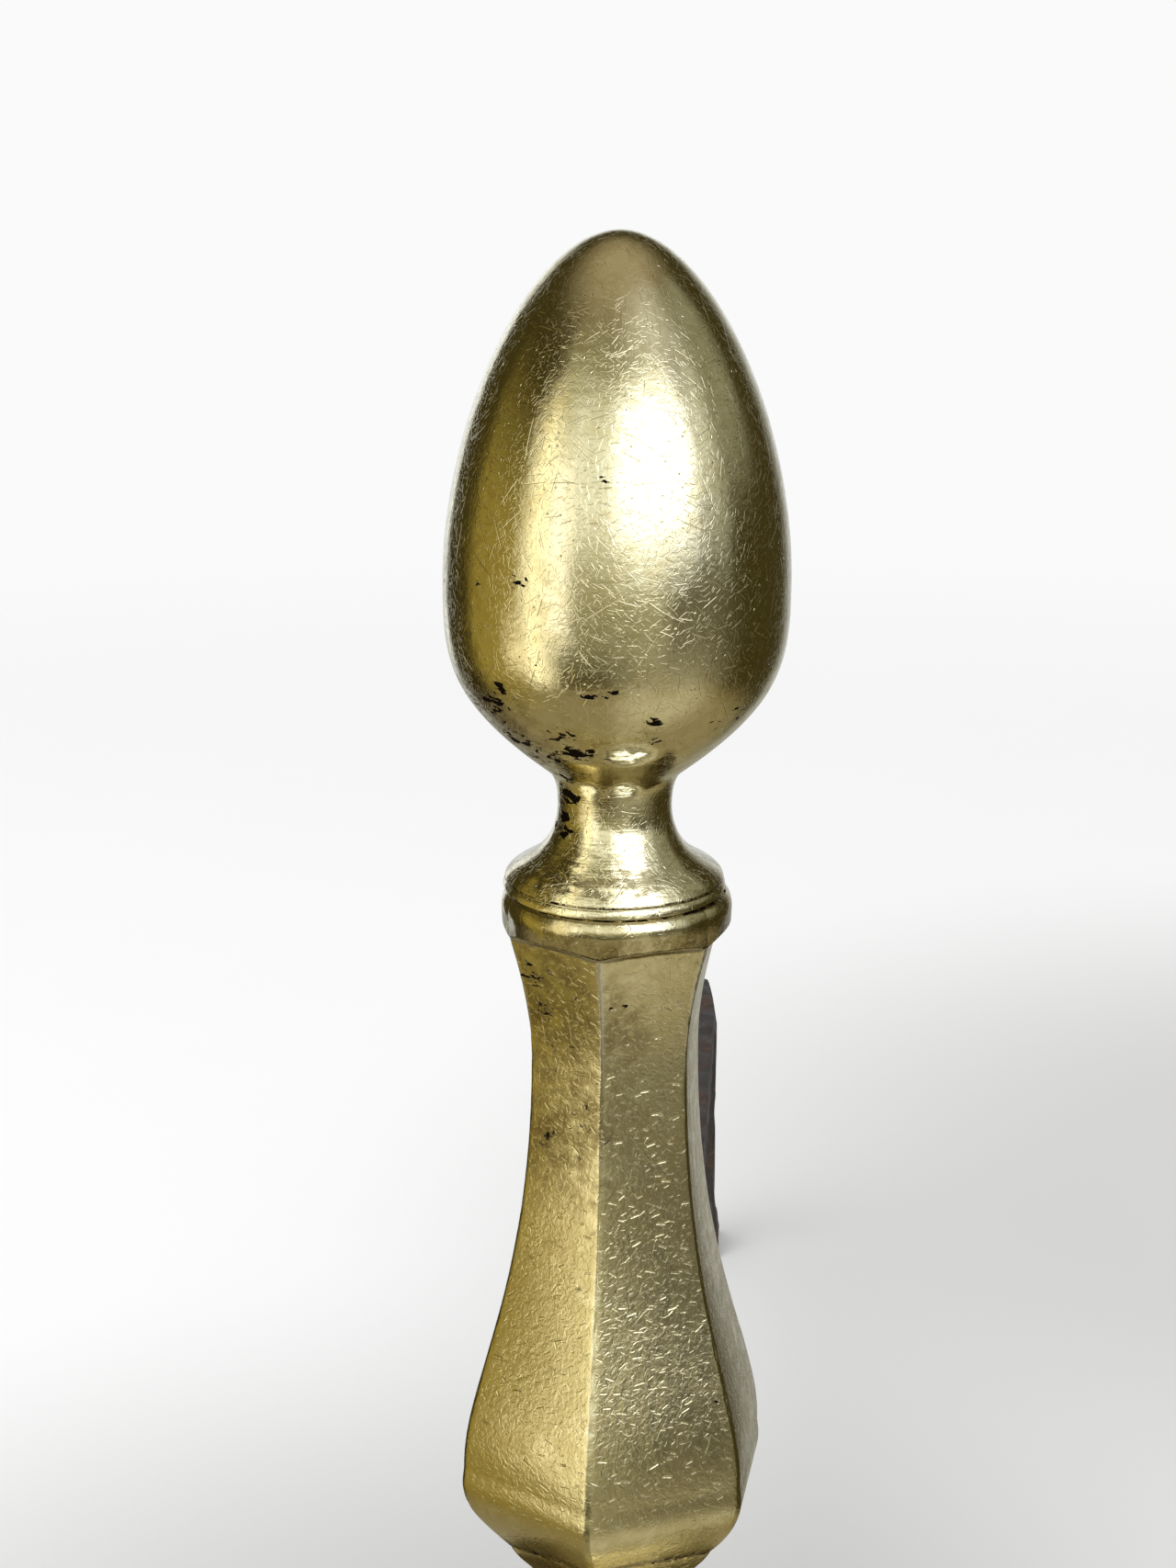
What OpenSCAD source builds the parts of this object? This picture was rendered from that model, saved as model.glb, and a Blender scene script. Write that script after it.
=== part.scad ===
// Andiron with a faceted baluster shaft, an egg finial, two cabriole legs and a forged billet bar.
// Millimetres. The origin is on the floor, midway between the front feet and the rear foot.
// The front is towards -Y, the billet bar runs back towards +Y, and +Z is up.
// One iron rod, threaded into the finial and nutted under the bar, clamps the whole column.

/* [Finial] */
// Height of the finial above the seam under its flange
finial_h = 121.6; // [100:0.1:140]
// Diameter of the egg at its widest
egg_d = 63.3; // [54:0.1:70]
// Height of the widest place of the egg above the seam
egg_mid_up = 58; // [52:0.5:64]
// Diameter where the egg meets the neck
egg_base_d = 25; // [23:0.1:28]
// Height of the egg's lower end above the seam
egg_base_up = 23.3; // [21:0.1:26]
// Diameter of the finial's neck at its narrowest
finial_neck_d = 21.2; // [18:0.1:23]
// Height of the narrowest place of the neck above the seam
finial_neck_up = 16.3; // [14:0.1:18]
// Diameter of the flange at the foot of the finial
flange_d = 41.4; // [39.5:0.1:42]
// Height of the rounded lip round the flange
flange_lip = 2.2; // [1.6:0.1:2.8]
// Thickness of the cast wall of the finial
finial_wall = 4; // [2.5:0.1:6]
// Height of the floor of the hollow egg above the seam
egg_floor_up = 33; // [29:0.5:38]

/* [Shaft] */
// Diameter of the round bead at the top of the shaft
bead_d = 43; // [41:0.1:45]
// Height of the bead at the corners of the shaft
bead_h = 7.6; // [6:0.1:9]
// Height of the rounding along the top of the bead
bead_round = 3.1; // [2:0.1:4]
// Width across the flats where the facets start to flare out into the bead
throat_af = 37; // [34:0.1:38]
// Distance from the bead down to the waist
waist_drop = 23.9; // [16:0.1:36]
// Width across the flats at the waist
waist_af = 29.4; // [25:0.1:32]
// Distance from the waist down to the belly
belly_drop = 82; // [60:0.5:110]
// Width across the flats at the belly
belly_af = 53.6; // [46:0.1:58]
// Distance from the belly down to the heel, where the belly ends
heel_drop = 15.4; // [11:0.1:20]
// Width across the flats at the heel
heel_af = 43; // [36:0.1:46]
// Step inwards under the heel
heel_step = 0.4; // [0.1:0.1:1]
// Distance from the heel down to the neck under it
neck_drop = 14.1; // [9:0.1:18]
// Width across the flats of that neck
low_neck_af = 24.4; // [20:0.1:30]
// Distance from that neck down to the edge of the shaft's foot
foot_drop = 7; // [4:0.1:10]
// Width across the flats of the shaft's foot
shaft_foot_af = 41.2; // [36:0.1:43]
// Height of the flat edge of the shaft's foot
shaft_foot_edge = 2.5; // [1.5:0.1:4]
// Thickness of the cast wall of the shaft
shaft_wall = 3.2; // [2.5:0.1:4.5]
// Angle by which the loose shaft is turned on its rod
shaft_turn = -5.7; // [-15:0.1:15]
// How far the loose shaft has slipped sideways on its rod
shaft_slip = 0.5; // [0:0.1:0.9]

/* [Plinth] */
// Height of the moulded cap on the plinth
cap_h = 8; // [7:0.1:11]
// Width across the flats of the cap
cap_af = 56.8; // [54:0.1:62]
// Width across the flats of the cap's flat top
cap_top_af = 45; // [44:0.1:50]
// Height of the plinth's plain sides
plinth_h = 22; // [15:0.5:38]
// Width across the flats of the plinth
plinth_af = 49; // [46:0.1:52]
// Thickness of the plinth's sides
plinth_wall = 2.6; // [2:0.1:5]
// Thickness of the moulded plate under the plinth
plate_h = 8; // [6.5:0.1:11]
// Width across the flats of that plate
plate_af = 60; // [57:0.1:66]

/* [Legs] */
// Angle between straight ahead and each front leg, seen from above
leg_splay = 68; // [50:1:80]
// Distance from the column's axis to the middle of each front foot
leg_reach = 104; // [92:0.5:120]
// Diameter of the ball of the foot
ball_d = 26; // [20:0.5:30]
// Diameter of the flat pad under the ball
pad_d = 17; // [12:0.5:19]
// Width of the leg at the knee
knee_w = 19; // [15:0.5:22]
// Depth of the leg at the knee
knee_t = 23; // [18:0.5:25]
// Width of the leg at the ankle
ankle_w = 10.5; // [8:0.5:13]
// Depth of the leg at the ankle
ankle_t = 11; // [8:0.5:13]
// Distance of each root block's outer face from the middle
root_w = 25; // [22:0.5:28]
// Distance of the root blocks' front face from the column's axis
root_front = 19; // [17:0.5:23]
// Distance of the root blocks' rear face from the column's axis
root_back = 15; // [13:0.5:18]
// Gap between the two legs where they meet in front of the bar
leg_seam = 0.2; // [0.1:0.1:0.6]

/* [Billet bar] */
// Height of the top of the bar above the floor
bar_top = 99.5; // [90:0.5:115]
// Width of the bar
bar_w = 19; // [15:0.5:22]
// Thickness of the bar
bar_t = 16; // [12:0.5:18]
// Depth of the notch in the top of the bar that seats the plate
seat_step = 1; // [0.5:0.1:3]
// Distance from the column's axis to the middle of the rear leg
bar_reach = 490; // [300:5:560]
// Distance from the column's axis to the front end of the bar
bar_nose = 12; // [10:0.5:14]
// Thickness of the rear leg at its top
rear_leg_t = 16; // [12:0.5:20]
// Thickness of the rear leg just above its foot
rear_ankle_t = 11; // [8:0.5:14]
// Outside radius of the bend at the top of the rear leg
bend_r = 13; // [6:0.5:15]
// Width of the rear foot
rear_foot_w = 23; // [18:0.5:30]
// Length of the rear foot
rear_foot_l = 24; // [18:0.5:34]
// Thickness of the rear foot's edge
rear_foot_t = 4; // [3:0.5:7]

/* [Rod and fastenings] */
// Diameter of the iron rod
rod_d = 9.5; // [8:0.1:10.5]
// Length of rod screwed into the finial
rod_grip = 27; // [18:0.5:30]
// Length of rod left standing out under the nut
rod_tail = 3; // [1:0.5:6]
// Radial clearance of the rod in the finial's socket and in its nut
thread_clear = 0.1; // [0.05:0.05:0.2]
// Radial clearance of the rod in the bar and the washer
rod_clear = 0.25; // [0.1:0.05:0.5]
// Radial clearance of the rod in the shaft and the plinth
column_clear = 1; // [0.95:0.05:1.5]
// Diameter of the iron washer
washer_d = 27; // [22:0.5:32]
// Thickness of the washer
washer_t = 2; // [1.5:0.1:3]
// Width of the square nut
nut_w = 17; // [15:0.5:20]
// Height of the square nut
nut_h = 8; // [6:0.5:10]
// Diameter of the rivets that hold each leg to the plate
rivet_d = 4.4; // [3.5:0.1:5]
// Diameter of the rivet heads
rivet_head_d = 8; // [7:0.1:9]
// Height of the rivet heads
rivet_head_h = 2; // [1.5:0.1:3]
// Depth of the rivet holes in the plate
rivet_hold = 4.5; // [3:0.1:5.5]
// Distance of the rivets from the middle, towards each side
rivet_side = 17; // [16:0.1:18]
// Distance of the rivets from the column's axis, forwards and backwards
rivet_row = 9; // [7:0.1:10]
// Clearance between the bar and the legs' root blocks
bar_clear = 0.3; // [0.2:0.05:0.5]

/* [Hidden] */

brass = [0.72, 0.62, 0.36];
old_brass = [0.62, 0.53, 0.30];
iron = [0.17, 0.16, 0.16];
rusty_iron = [0.28, 0.20, 0.17];

round_fn = 96;   // steps of a turned surface, which stays truly round
curve_n = 14;    // steps along a long moulded curve
short_n = 6;     // steps along a short one
sure = 1;        // how far a cutter runs past what it cuts

plate_z = bar_top - seat_step;
plinth_z = plate_z + plate_h;
cap_z = plinth_z + plinth_h;
shaft_z = cap_z + cap_h;
waist_down = bead_h + waist_drop;
belly_down = waist_down + belly_drop;
heel_down = belly_down + heel_drop;
low_neck_down = heel_down + neck_drop;
foot_down = low_neck_down + foot_drop;
shaft_h = foot_down + shaft_foot_edge;
seam_z = shaft_z + shaft_h;
bar_under = bar_top - bar_t;
plate_corner = plate_af / 2 / cos(30);
rod_r = rod_d / 2;
socket_r = rod_r + thread_clear;
column_bore_r = rod_r + column_clear;
bar_bore_r = rod_r + rod_clear;

foot_r = ball_d / 2;
pad_t = 2;
ball_z = pad_t + foot_r - 1;
bar_end = bar_reach + max(rear_leg_t, rear_foot_l) / 2;
front_reach = leg_reach * cos(leg_splay) + foot_r;
column_y = (front_reach - bar_end) / 2;   // the column's axis, seen from the middle of the whole

// ---- curves ----

// Points of a cubic curve between a and d, drawn by the handles b and c.
function curve(a, b, c, d, n) =
    [for (i = [0:n]) let (t = i / n, s = 1 - t)
        s * s * s * a + 3 * s * s * t * b + 3 * s * t * t * c + t * t * t * d];

// Points of a quarter or half round about a centre.
function round_pts(centre, rx, ry, from, to, n) =
    [for (i = [0:n]) let (a = from + (to - from) * i / n)
        centre + [rx * cos(a), ry * sin(a)]];

// The number between a and b at share t, eased at both ends.
function ease(a, b, t) =
    let (s = min(1, max(0, t))) a + (b - a) * s * s * (3 - 2 * s);

module at_column() {
    translate([0, column_y, 0]) children();
}

// A hexagonal solid with a corner to the front, from its half width at each height.
module hex_solid(half) {
    reach = 2 * max([for (p = half) p.x]);
    n = len(half);
    both = concat(half, [for (i = [n - 1:-1:0]) [-half[i].x, half[i].y]]);
    intersection() {
        rotate([90, 0, 0]) linear_extrude(2 * reach, center = true) polygon(both);
        rotate([90, 0, 60]) linear_extrude(2 * reach, center = true) polygon(both);
        rotate([90, 0, 120]) linear_extrude(2 * reach, center = true) polygon(both);
    }
}

// ---- finial ----

egg_r = egg_d / 2;
egg_rise = finial_h - egg_mid_up;
egg_drop = egg_mid_up - egg_base_up;

egg_under = curve([egg_base_d / 2, egg_base_up],
                  [egg_base_d / 2 + 0.95 * (egg_r - egg_base_d / 2), egg_base_up + 0.4 * egg_drop],
                  [egg_r, egg_mid_up - 0.41 * egg_drop], [egg_r, egg_mid_up], curve_n);
egg_over = curve([egg_r, egg_mid_up], [egg_r, egg_mid_up + 0.485 * egg_rise],
                 [0.49 * egg_r, finial_h], [0, finial_h], curve_n);

// The turned outline of the flange and neck, from the seam up to the egg.
function finial_foot() =
    let (flange_r = flange_d / 2, neck_r = finial_neck_d / 2, lip_r = flange_lip / 2,
         bell_r = flange_r - 0.3, rise = finial_neck_up - flange_lip,
         bend = [neck_r + 6, flange_lip + 0.255 * rise])
    concat(round_pts([flange_r - lip_r, lip_r], lip_r, lip_r, -90, 60, short_n),
           curve([bell_r, flange_lip + 0.1], [bell_r, flange_lip + 0.11 * rise],
                 bend + [1.8, -0.075 * rise], bend, short_n),
           curve(bend + [-0.25, 0.01 * rise], bend + [-2.4, 0.092 * rise],
                 [neck_r + 0.02, bend.y + 0.312 * rise], [neck_r, finial_neck_up], short_n + 4),
           curve([neck_r, finial_neck_up + 0.4], [neck_r, finial_neck_up + 3],
                 [egg_base_d / 2 - 1.2, egg_base_up - 1.8], [egg_base_d / 2, egg_base_up - 0.05],
                 short_n));

// The hollow inside the egg, one wall in from its outside.
module egg_hollow() {
    inner = [for (p = concat(egg_under, egg_over))
        if (p.y > egg_floor_up && p.y < finial_h - 2 * finial_wall) [p.x - finial_wall, p.y]];
    rotate_extrude($fn = round_fn)
        polygon(concat([[0, egg_floor_up]], [[inner[0].x, egg_floor_up]], inner,
                       [[0, inner[len(inner) - 1].y + finial_wall / 2]]));
}

module finial() {
    color(brass) at_column() translate([0, 0, seam_z]) difference() {
        rotate_extrude($fn = round_fn)
            polygon(concat([[0, 0]], finial_foot(), egg_under, egg_over));
        translate([0, 0, -sure]) cylinder(h = egg_floor_up + 2 * sure, r = socket_r, $fn = round_fn);
        egg_hollow();
    }
}

// ---- baluster shaft ----

// Half width of the six facets, from the top down to the foot. They flare out past the bead,
// which cuts them round. Heights are negative because the shaft hangs from the seam.
function shaft_facets() =
    let (flare = bead_d / 2 + 0.5, throat = throat_af / 2, waist = waist_af / 2,
         belly = belly_af / 2, heel = heel_af / 2, step = heel_step, low = low_neck_af / 2,
         foot = shaft_foot_af / 2)
    concat([[flare, 0]],
           curve([flare, -0.74 * bead_h], [flare - 1.6, -0.82 * bead_h],
                 [throat + 0.4, -0.92 * bead_h], [throat + 0.1, -0.985 * bead_h], short_n - 2),
           curve([throat, -bead_h - 0.4], [throat - 0.6, -bead_h - 0.11 * waist_drop],
                 [waist, -waist_down + 0.45 * waist_drop], [waist, -waist_down], short_n + 4),
           curve([waist, -waist_down - 0.02 * belly_drop],
                 [waist, -waist_down - 0.575 * belly_drop],
                 [belly, -belly_down + 0.213 * belly_drop], [belly, -belly_down], curve_n),
           curve([belly, -belly_down - 0.05 * heel_drop], [belly, -belly_down - 0.18 * heel_drop],
                 [belly + 2.1, -heel_down + 0.59 * heel_drop], [heel, -heel_down], short_n + 2),
           curve([heel - step, -heel_down - step],
                 [heel - step - 1.9, -heel_down - 0.35 * neck_drop],
                 [low, -low_neck_down + 0.26 * neck_drop], [low, -low_neck_down], short_n),
           curve([low, -low_neck_down - 0.1 * foot_drop], [low, -low_neck_down - 0.64 * foot_drop],
                 [low + 4, -foot_down + 0.06 * foot_drop], [foot - 0.6, -foot_down], short_n),
           [[foot, -foot_down - 0.6], [foot, -shaft_h]]);

// Round about the axis: the rounding and the upright side of the bead, then clear of the facets.
module bead_limit() {
    bead_r = bead_d / 2;
    clear_r = max(belly_af, shaft_foot_af);
    rotate_extrude($fn = round_fn)
        polygon(concat([[0, 0]],
                       round_pts([bead_r - 1.5, -bead_round], 1.5, bead_round, 90, 0, short_n + 2),
                       [[bead_r - 0.2, -bead_h - 0.5], [clear_r, -bead_h - 1.5],
                        [clear_r, -shaft_h - sure], [0, -shaft_h - sure]]));
}

// The cored inside of the shaft: round, one wall inside the facets, open to the rod's bore.
module shaft_core() {
    facets = shaft_facets();
    inner = [for (p = facets) if (p.y < -bead_h && p.y > -heel_down + shaft_wall)
        [p.x - shaft_wall, p.y]];
    last = inner[len(inner) - 1];
    rotate_extrude($fn = round_fn)
        polygon(concat([[0, inner[0].y]], inner, [[0, last.y]]));
    translate([0, 0, -shaft_h - sure])
        cylinder(h = shaft_h + 2 * sure, r = column_bore_r, $fn = round_fn);
}

module shaft() {
    color(brass) at_column() translate([shaft_slip, 0, seam_z]) rotate([0, 0, shaft_turn])
        difference() {
            intersection() {
                hex_solid(shaft_facets());
                bead_limit();
            }
            shaft_core();
        }
}

// ---- plinth ----

// Sloping top, upright edge and a hollow moulding that runs in to the plinth.
module plinth_cap() {
    edge = cap_af / 2;
    edge_low = 0.35 * cap_h;
    edge_high = 0.65 * cap_h;
    side = plinth_af / 2;
    color(brass) at_column() translate([0, 0, cap_z]) difference() {
        hex_solid(concat([[cap_top_af / 2, cap_h], [edge - 0.8, edge_high + 0.8],
                          [edge, edge_high], [edge, edge_low], [edge - 1, edge_low]],
                         curve([edge - 1, edge_low - 0.2], [edge - 1.6, 0.4 * edge_low],
                               [side + 1.2, 0.6], [side + 0.4, 0], short_n)));
        translate([0, 0, -sure]) cylinder(h = cap_h + 2 * sure, r = column_bore_r, $fn = round_fn);
    }
}

module plinth() {
    color(brass) at_column() translate([0, 0, plinth_z]) difference() {
        hex_solid([[plinth_af / 2, plinth_h], [plinth_af / 2, 0]]);
        translate([0, 0, -sure]) hex_solid([[plinth_af / 2 - plinth_wall, plinth_h + 2 * sure],
                                            [plinth_af / 2 - plinth_wall, 0]]);
    }
}

// Quarter round over an upright edge. The legs are riveted to its underside.
module leg_plate() {
    edge = plate_af / 2;
    seat = plinth_af / 2 + 1.2;
    edge_high = 0.5 * plate_h;
    color(brass) at_column() translate([0, 0, plate_z]) difference() {
        hex_solid(concat([[seat, plate_h]],
                         round_pts([seat, edge_high + 0.6], edge - 1.4 - seat,
                                   plate_h - edge_high - 1.2, 90, 0, short_n),
                         [[edge - 1.4, edge_high], [edge - 0.4, edge_high],
                          [edge, edge_high - 0.4], [edge, 0]]));
        translate([0, 0, -sure]) cylinder(h = plate_h + 2 * sure, r = column_bore_r, $fn = round_fn);
        at_rivets() translate([0, 0, -sure])
            cylinder(h = rivet_hold + sure, d = rivet_d + 2 * thread_clear, $fn = round_fn);
    }
}

// ---- legs ----

// The middle line of a leg, as [distance out from the column, height].
knee_end = [leg_reach - 42, 0.68 * bar_top];
leg_line = concat(
    curve([14, bar_under + bar_t / 2 - 1], [leg_reach - 70, bar_under + bar_t / 2 + 2],
          [leg_reach - 50, 0.93 * bar_top], knee_end, 14),
    [for (p = curve(knee_end, [leg_reach - 38, 0.55 * bar_top],
                    [leg_reach - 32, 0.38 * bar_top], [leg_reach - 3, ball_z + 2], 16))
        if (p.y < knee_end.y - 0.1) p]);

leg_sides = 20;
leg_steps = len(leg_line) - 1;
knee_at = 0.34;   // share of the line at which the leg is thickest

function leg_size(root, knee, ankle, t) =
    t < knee_at ? ease(root, knee, t / knee_at) : ease(knee, ankle, (t - knee_at) / 0.42);

// One ring of the leg, square to its middle line, squarish at the root and rounder at the ankle.
function leg_ring(i) =
    let (t = i / leg_steps,
         before = leg_line[max(0, i - 1)], after = leg_line[min(leg_steps, i + 1)],
         along = (after - before) / norm(after - before),
         half_w = leg_size(root_front - 1, knee_w, ankle_w, t) / 2,
         half_t = leg_size(bar_t - 2, knee_t, ankle_t, t) / 2,
         power = ease(0.5, 0.9, t))
    [for (j = [0:leg_sides - 1])
        let (a = 360 * (j + 0.5) / leg_sides,
             u = half_t * sign(cos(a)) * pow(abs(cos(a)), power),
             v = half_w * sign(sin(a)) * pow(abs(sin(a)), power))
        [leg_line[i].x - along.y * u, v, leg_line[i].y + along.x * u]];

module leg_sweep() {
    rings = [for (i = [0:leg_steps]) leg_ring(i)];
    points = [for (r = rings, p = r) p];
    sides = [for (i = [0:leg_steps - 1], j = [0:leg_sides - 1])
        let (a = i * leg_sides + j, b = i * leg_sides + (j + 1) % leg_sides) each
        [[a, b, b + leg_sides], [a, b + leg_sides, a + leg_sides]]];
    start = [[for (j = [leg_sides - 1:-1:0]) j]];
    end = [[for (j = [0:leg_sides - 1]) leg_steps * leg_sides + j]];
    polyhedron(points, concat(sides, start, end));
}

// Ball foot on a flat pad.
module foot() {
    translate([leg_reach, 0, 0]) {
        cylinder(h = pad_t + 1, d = pad_d, $fn = round_fn);
        intersection() {
            translate([0, 0, ball_z]) sphere(r = foot_r, $fn = round_fn);
            translate([0, 0, pad_t / 2 + foot_r * 2]) cube(foot_r * 4, center = true);
        }
    }
}

module right_leg_solid() {
    difference() {
        union() {
            rotate([0, 0, leg_splay - 90]) {
                leg_sweep();
                foot();
            }
            translate([leg_seam / 2, -root_front, bar_under])
                cube([root_w - leg_seam / 2, root_front + root_back, plate_z - bar_under]);
        }
        // the pocket for the front end of the bar
        translate([-sure, -bar_nose - bar_clear, bar_under - 2 * bar_t])
            cube([sure + bar_w / 2 + bar_clear, 2 * root_front + root_back, 5 * bar_t]);
        // nothing reaches past the seam or above the plate's underside
        translate([leg_seam / 2 - 2 * root_w, -2 * root_w, 0])
            cube([2 * root_w, 4 * root_w, 2 * bar_top]);
        translate([-leg_reach, -leg_reach, plate_z])
            cube([3 * leg_reach, 2 * leg_reach, 2 * bar_t]);
        right_rivet_spots() translate([0, 0, bar_under - 3 * bar_t])
            cylinder(h = 5 * bar_t, d = rivet_d + 2 * thread_clear, $fn = round_fn);
    }
}

module right_leg() {
    color(old_brass) at_column() right_leg_solid();
}

module left_leg() {
    color(old_brass) at_column() mirror([1, 0, 0]) right_leg_solid();
}

module right_rivet_spots() {
    for (row = [-1, 1]) translate([rivet_side, row * rivet_row, 0]) children();
}

module at_rivets() {
    right_rivet_spots() children();
    mirror([1, 0, 0]) right_rivet_spots() children();
}

module leg_rivets() {
    color(iron) at_column() at_rivets() {
        translate([0, 0, bar_under])
            cylinder(h = plate_z - bar_under + rivet_hold, d = rivet_d, $fn = round_fn);
        translate([0, 0, bar_under]) rotate_extrude($fn = round_fn)
            polygon([[0, 0], [rivet_head_d / 2, 0], [0.85 * rivet_head_d / 2, -0.6 * rivet_head_h],
                     [0.4 * rivet_head_d / 2, -rivet_head_h], [0, -rivet_head_h]]);
    }
}

// ---- billet bar ----

// Side outline of the bar and its rear leg, as [distance behind the column, height].
function bar_outline() =
    let (back = bar_reach + rear_leg_t / 2, inside = bar_reach - rear_leg_t / 2,
         heel = bar_reach + rear_ankle_t / 2, toe = bar_reach - rear_ankle_t / 2,
         foot_z = rear_foot_t, rise = rear_foot_t + 14, inner_r = max(2, bend_r - bar_t / 2))
    concat([[-bar_nose, bar_under], [-bar_nose, plate_z],
            [plate_corner + bar_clear, plate_z], [plate_corner + bar_clear, bar_top]],
           round_pts([back - bend_r, bar_top - bend_r], bend_r, bend_r, 90, 0, short_n + 2),
           [[heel, rise], [bar_reach + rear_foot_l / 2 - 2, foot_z],
            [bar_reach + rear_foot_l / 2, foot_z - 1.5], [bar_reach + rear_foot_l / 2, 0],
            [bar_reach - rear_foot_l / 2, 0], [bar_reach - rear_foot_l / 2, foot_z - 1.5],
            [bar_reach - rear_foot_l / 2 + 2, foot_z], [toe, rise]],
           round_pts([inside - inner_r, bar_under - inner_r], inner_r, inner_r, 0, 90, short_n));

// Front outline of the rear leg: as wide as the bar, spreading into the foot.
module rear_leg_front() {
    rise = rear_foot_t + 14;
    half = bar_w / 2;
    foot_half = rear_foot_w / 2;
    polygon([[half, bar_top + sure], [half, rise], [foot_half, rear_foot_t], [foot_half, 0],
             [-foot_half, 0], [-foot_half, rear_foot_t], [-half, rise], [-half, bar_top + sure]]);
}

module billet_bar() {
    color(rusty_iron) at_column() difference() {
        intersection() {
            rotate([90, 0, 90]) linear_extrude(2 * rear_foot_w, center = true)
                polygon(bar_outline());
            translate([0, 2 * bar_reach, 0]) rotate([90, 0, 0])
                linear_extrude(4 * bar_reach) rear_leg_front();
        }
        translate([0, 0, bar_under - sure])
            cylinder(h = bar_t + 2 * sure, r = bar_bore_r, $fn = round_fn);
    }
}

// ---- rod, washer and nut ----

washer_z = bar_under - washer_t;
nut_z = washer_z - nut_h;
rod_low = nut_z - rod_tail;
rod_high = seam_z + rod_grip;

module column_rod() {
    nib = 0.2 * rod_r;
    color(iron) at_column() rotate_extrude($fn = round_fn)
        polygon([[0, rod_low], [rod_r - nib, rod_low], [rod_r, rod_low + nib],
                 [rod_r, rod_high - nib], [rod_r - nib, rod_high], [0, rod_high]]);
}

module rod_washer() {
    color(iron) at_column() translate([0, 0, washer_z]) difference() {
        cylinder(h = washer_t, d = washer_d, $fn = round_fn);
        translate([0, 0, -sure]) cylinder(h = washer_t + 2 * sure, r = bar_bore_r, $fn = round_fn);
    }
}

module rod_nut() {
    color(iron) at_column() translate([0, 0, nut_z]) difference() {
        intersection() {
            translate([-nut_w / 2, -nut_w / 2, 0]) cube([nut_w, nut_w, nut_h]);
            rotate_extrude($fn = round_fn)
                polygon([[0, 0], [0.53 * nut_w, 0], [0.72 * nut_w, 0.25 * nut_h],
                         [0.72 * nut_w, nut_h], [0, nut_h]]);
        }
        translate([0, 0, -sure]) cylinder(h = nut_h + 2 * sure, r = socket_r, $fn = round_fn);
    }
}

finial();
shaft();
plinth_cap();
plinth();
leg_plate();
left_leg();
right_leg();
leg_rivets();
billet_bar();
column_rod();
rod_washer();
rod_nut();
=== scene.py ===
"""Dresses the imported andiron: old brass column and legs, forged iron bar, pale studio.

Lengths in the dataclasses are millimetres measured on the piece, as a maker would write them.
They become metres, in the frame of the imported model, when a mesh is made.
"""

import logging
import math
from dataclasses import dataclass, field
from enum import Enum

import bmesh
import bpy
import numpy as np
from mathutils import Matrix, Vector


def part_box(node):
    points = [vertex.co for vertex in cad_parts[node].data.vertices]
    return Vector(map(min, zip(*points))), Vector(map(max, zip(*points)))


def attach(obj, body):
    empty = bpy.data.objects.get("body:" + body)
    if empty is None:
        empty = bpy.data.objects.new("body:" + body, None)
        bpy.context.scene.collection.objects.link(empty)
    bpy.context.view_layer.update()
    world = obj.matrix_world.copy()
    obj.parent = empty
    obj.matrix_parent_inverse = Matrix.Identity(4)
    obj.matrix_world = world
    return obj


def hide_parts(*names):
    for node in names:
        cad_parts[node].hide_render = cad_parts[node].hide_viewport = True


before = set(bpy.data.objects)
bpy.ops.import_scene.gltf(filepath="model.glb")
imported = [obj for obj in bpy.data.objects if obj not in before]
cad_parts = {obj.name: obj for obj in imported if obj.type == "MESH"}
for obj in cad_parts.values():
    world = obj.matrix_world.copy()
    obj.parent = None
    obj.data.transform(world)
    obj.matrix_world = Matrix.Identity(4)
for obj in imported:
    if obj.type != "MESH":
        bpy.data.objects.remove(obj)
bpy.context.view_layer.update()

log = logging.getLogger("andiron")

MM = 0.001
UPWARD = (0.0, 0.0, 1.0)
SPECKLE = 420.0  # chips and scale, to the metre
BODY = "root"

Point = tuple[float, float]
Colour = tuple[float, float, float]
Piece = bpy.types.Object
Material = bpy.types.Material
Clay = bmesh.types.BMesh
Array = np.ndarray


# ---- node trees


class Wire:
    """One value in a node tree, known by the output socket that carries it."""

    def __init__(self, sheet: "Sheet", socket: bpy.types.NodeSocket) -> None:
        """Keeps the tree and the output socket."""
        self.sheet = sheet
        self.socket = socket


class Term(Wire):
    """One number in a node tree. Arithmetic on it adds Math nodes."""

    def math(self, operation: str, *others: "Term | float") -> "Term":
        """A Math node that starts from this number."""
        return self.sheet.math(operation, self, *others)

    def __add__(self, other: "Term | float") -> "Term":
        """Sum."""
        return self.math("ADD", other)

    __radd__ = __add__

    def __sub__(self, other: "Term | float") -> "Term":
        """Difference."""
        return self.math("SUBTRACT", other)

    def __rsub__(self, other: float) -> "Term":
        """Difference from a plain number."""
        return self.sheet.math("SUBTRACT", other, self)

    def __mul__(self, other: "Term | float") -> "Term":
        """Product."""
        return self.math("MULTIPLY", other)

    __rmul__ = __mul__

    def __truediv__(self, other: "Term | float") -> "Term":
        """Quotient."""
        return self.math("DIVIDE", other)

    def __rtruediv__(self, other: float) -> "Term":
        """Quotient of a plain number by this one."""
        return self.sheet.math("DIVIDE", other, self)

    def __pow__(self, other: "Term | float") -> "Term":
        """Power."""
        return self.math("POWER", other)

    def __abs__(self) -> "Term":
        """Size without the sign."""
        return self.math("ABSOLUTE")

    def step(self, low: float, high: float) -> "Term":
        """Smooth step from 0 at low to 1 at high, or down from 1 where high is the lower one."""
        sockets = {"Value": self, "From Min": low, "From Max": high}
        return self.sheet.add("ShaderNodeMapRange", {"interpolation_type": "SMOOTHSTEP"}, sockets)


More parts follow.
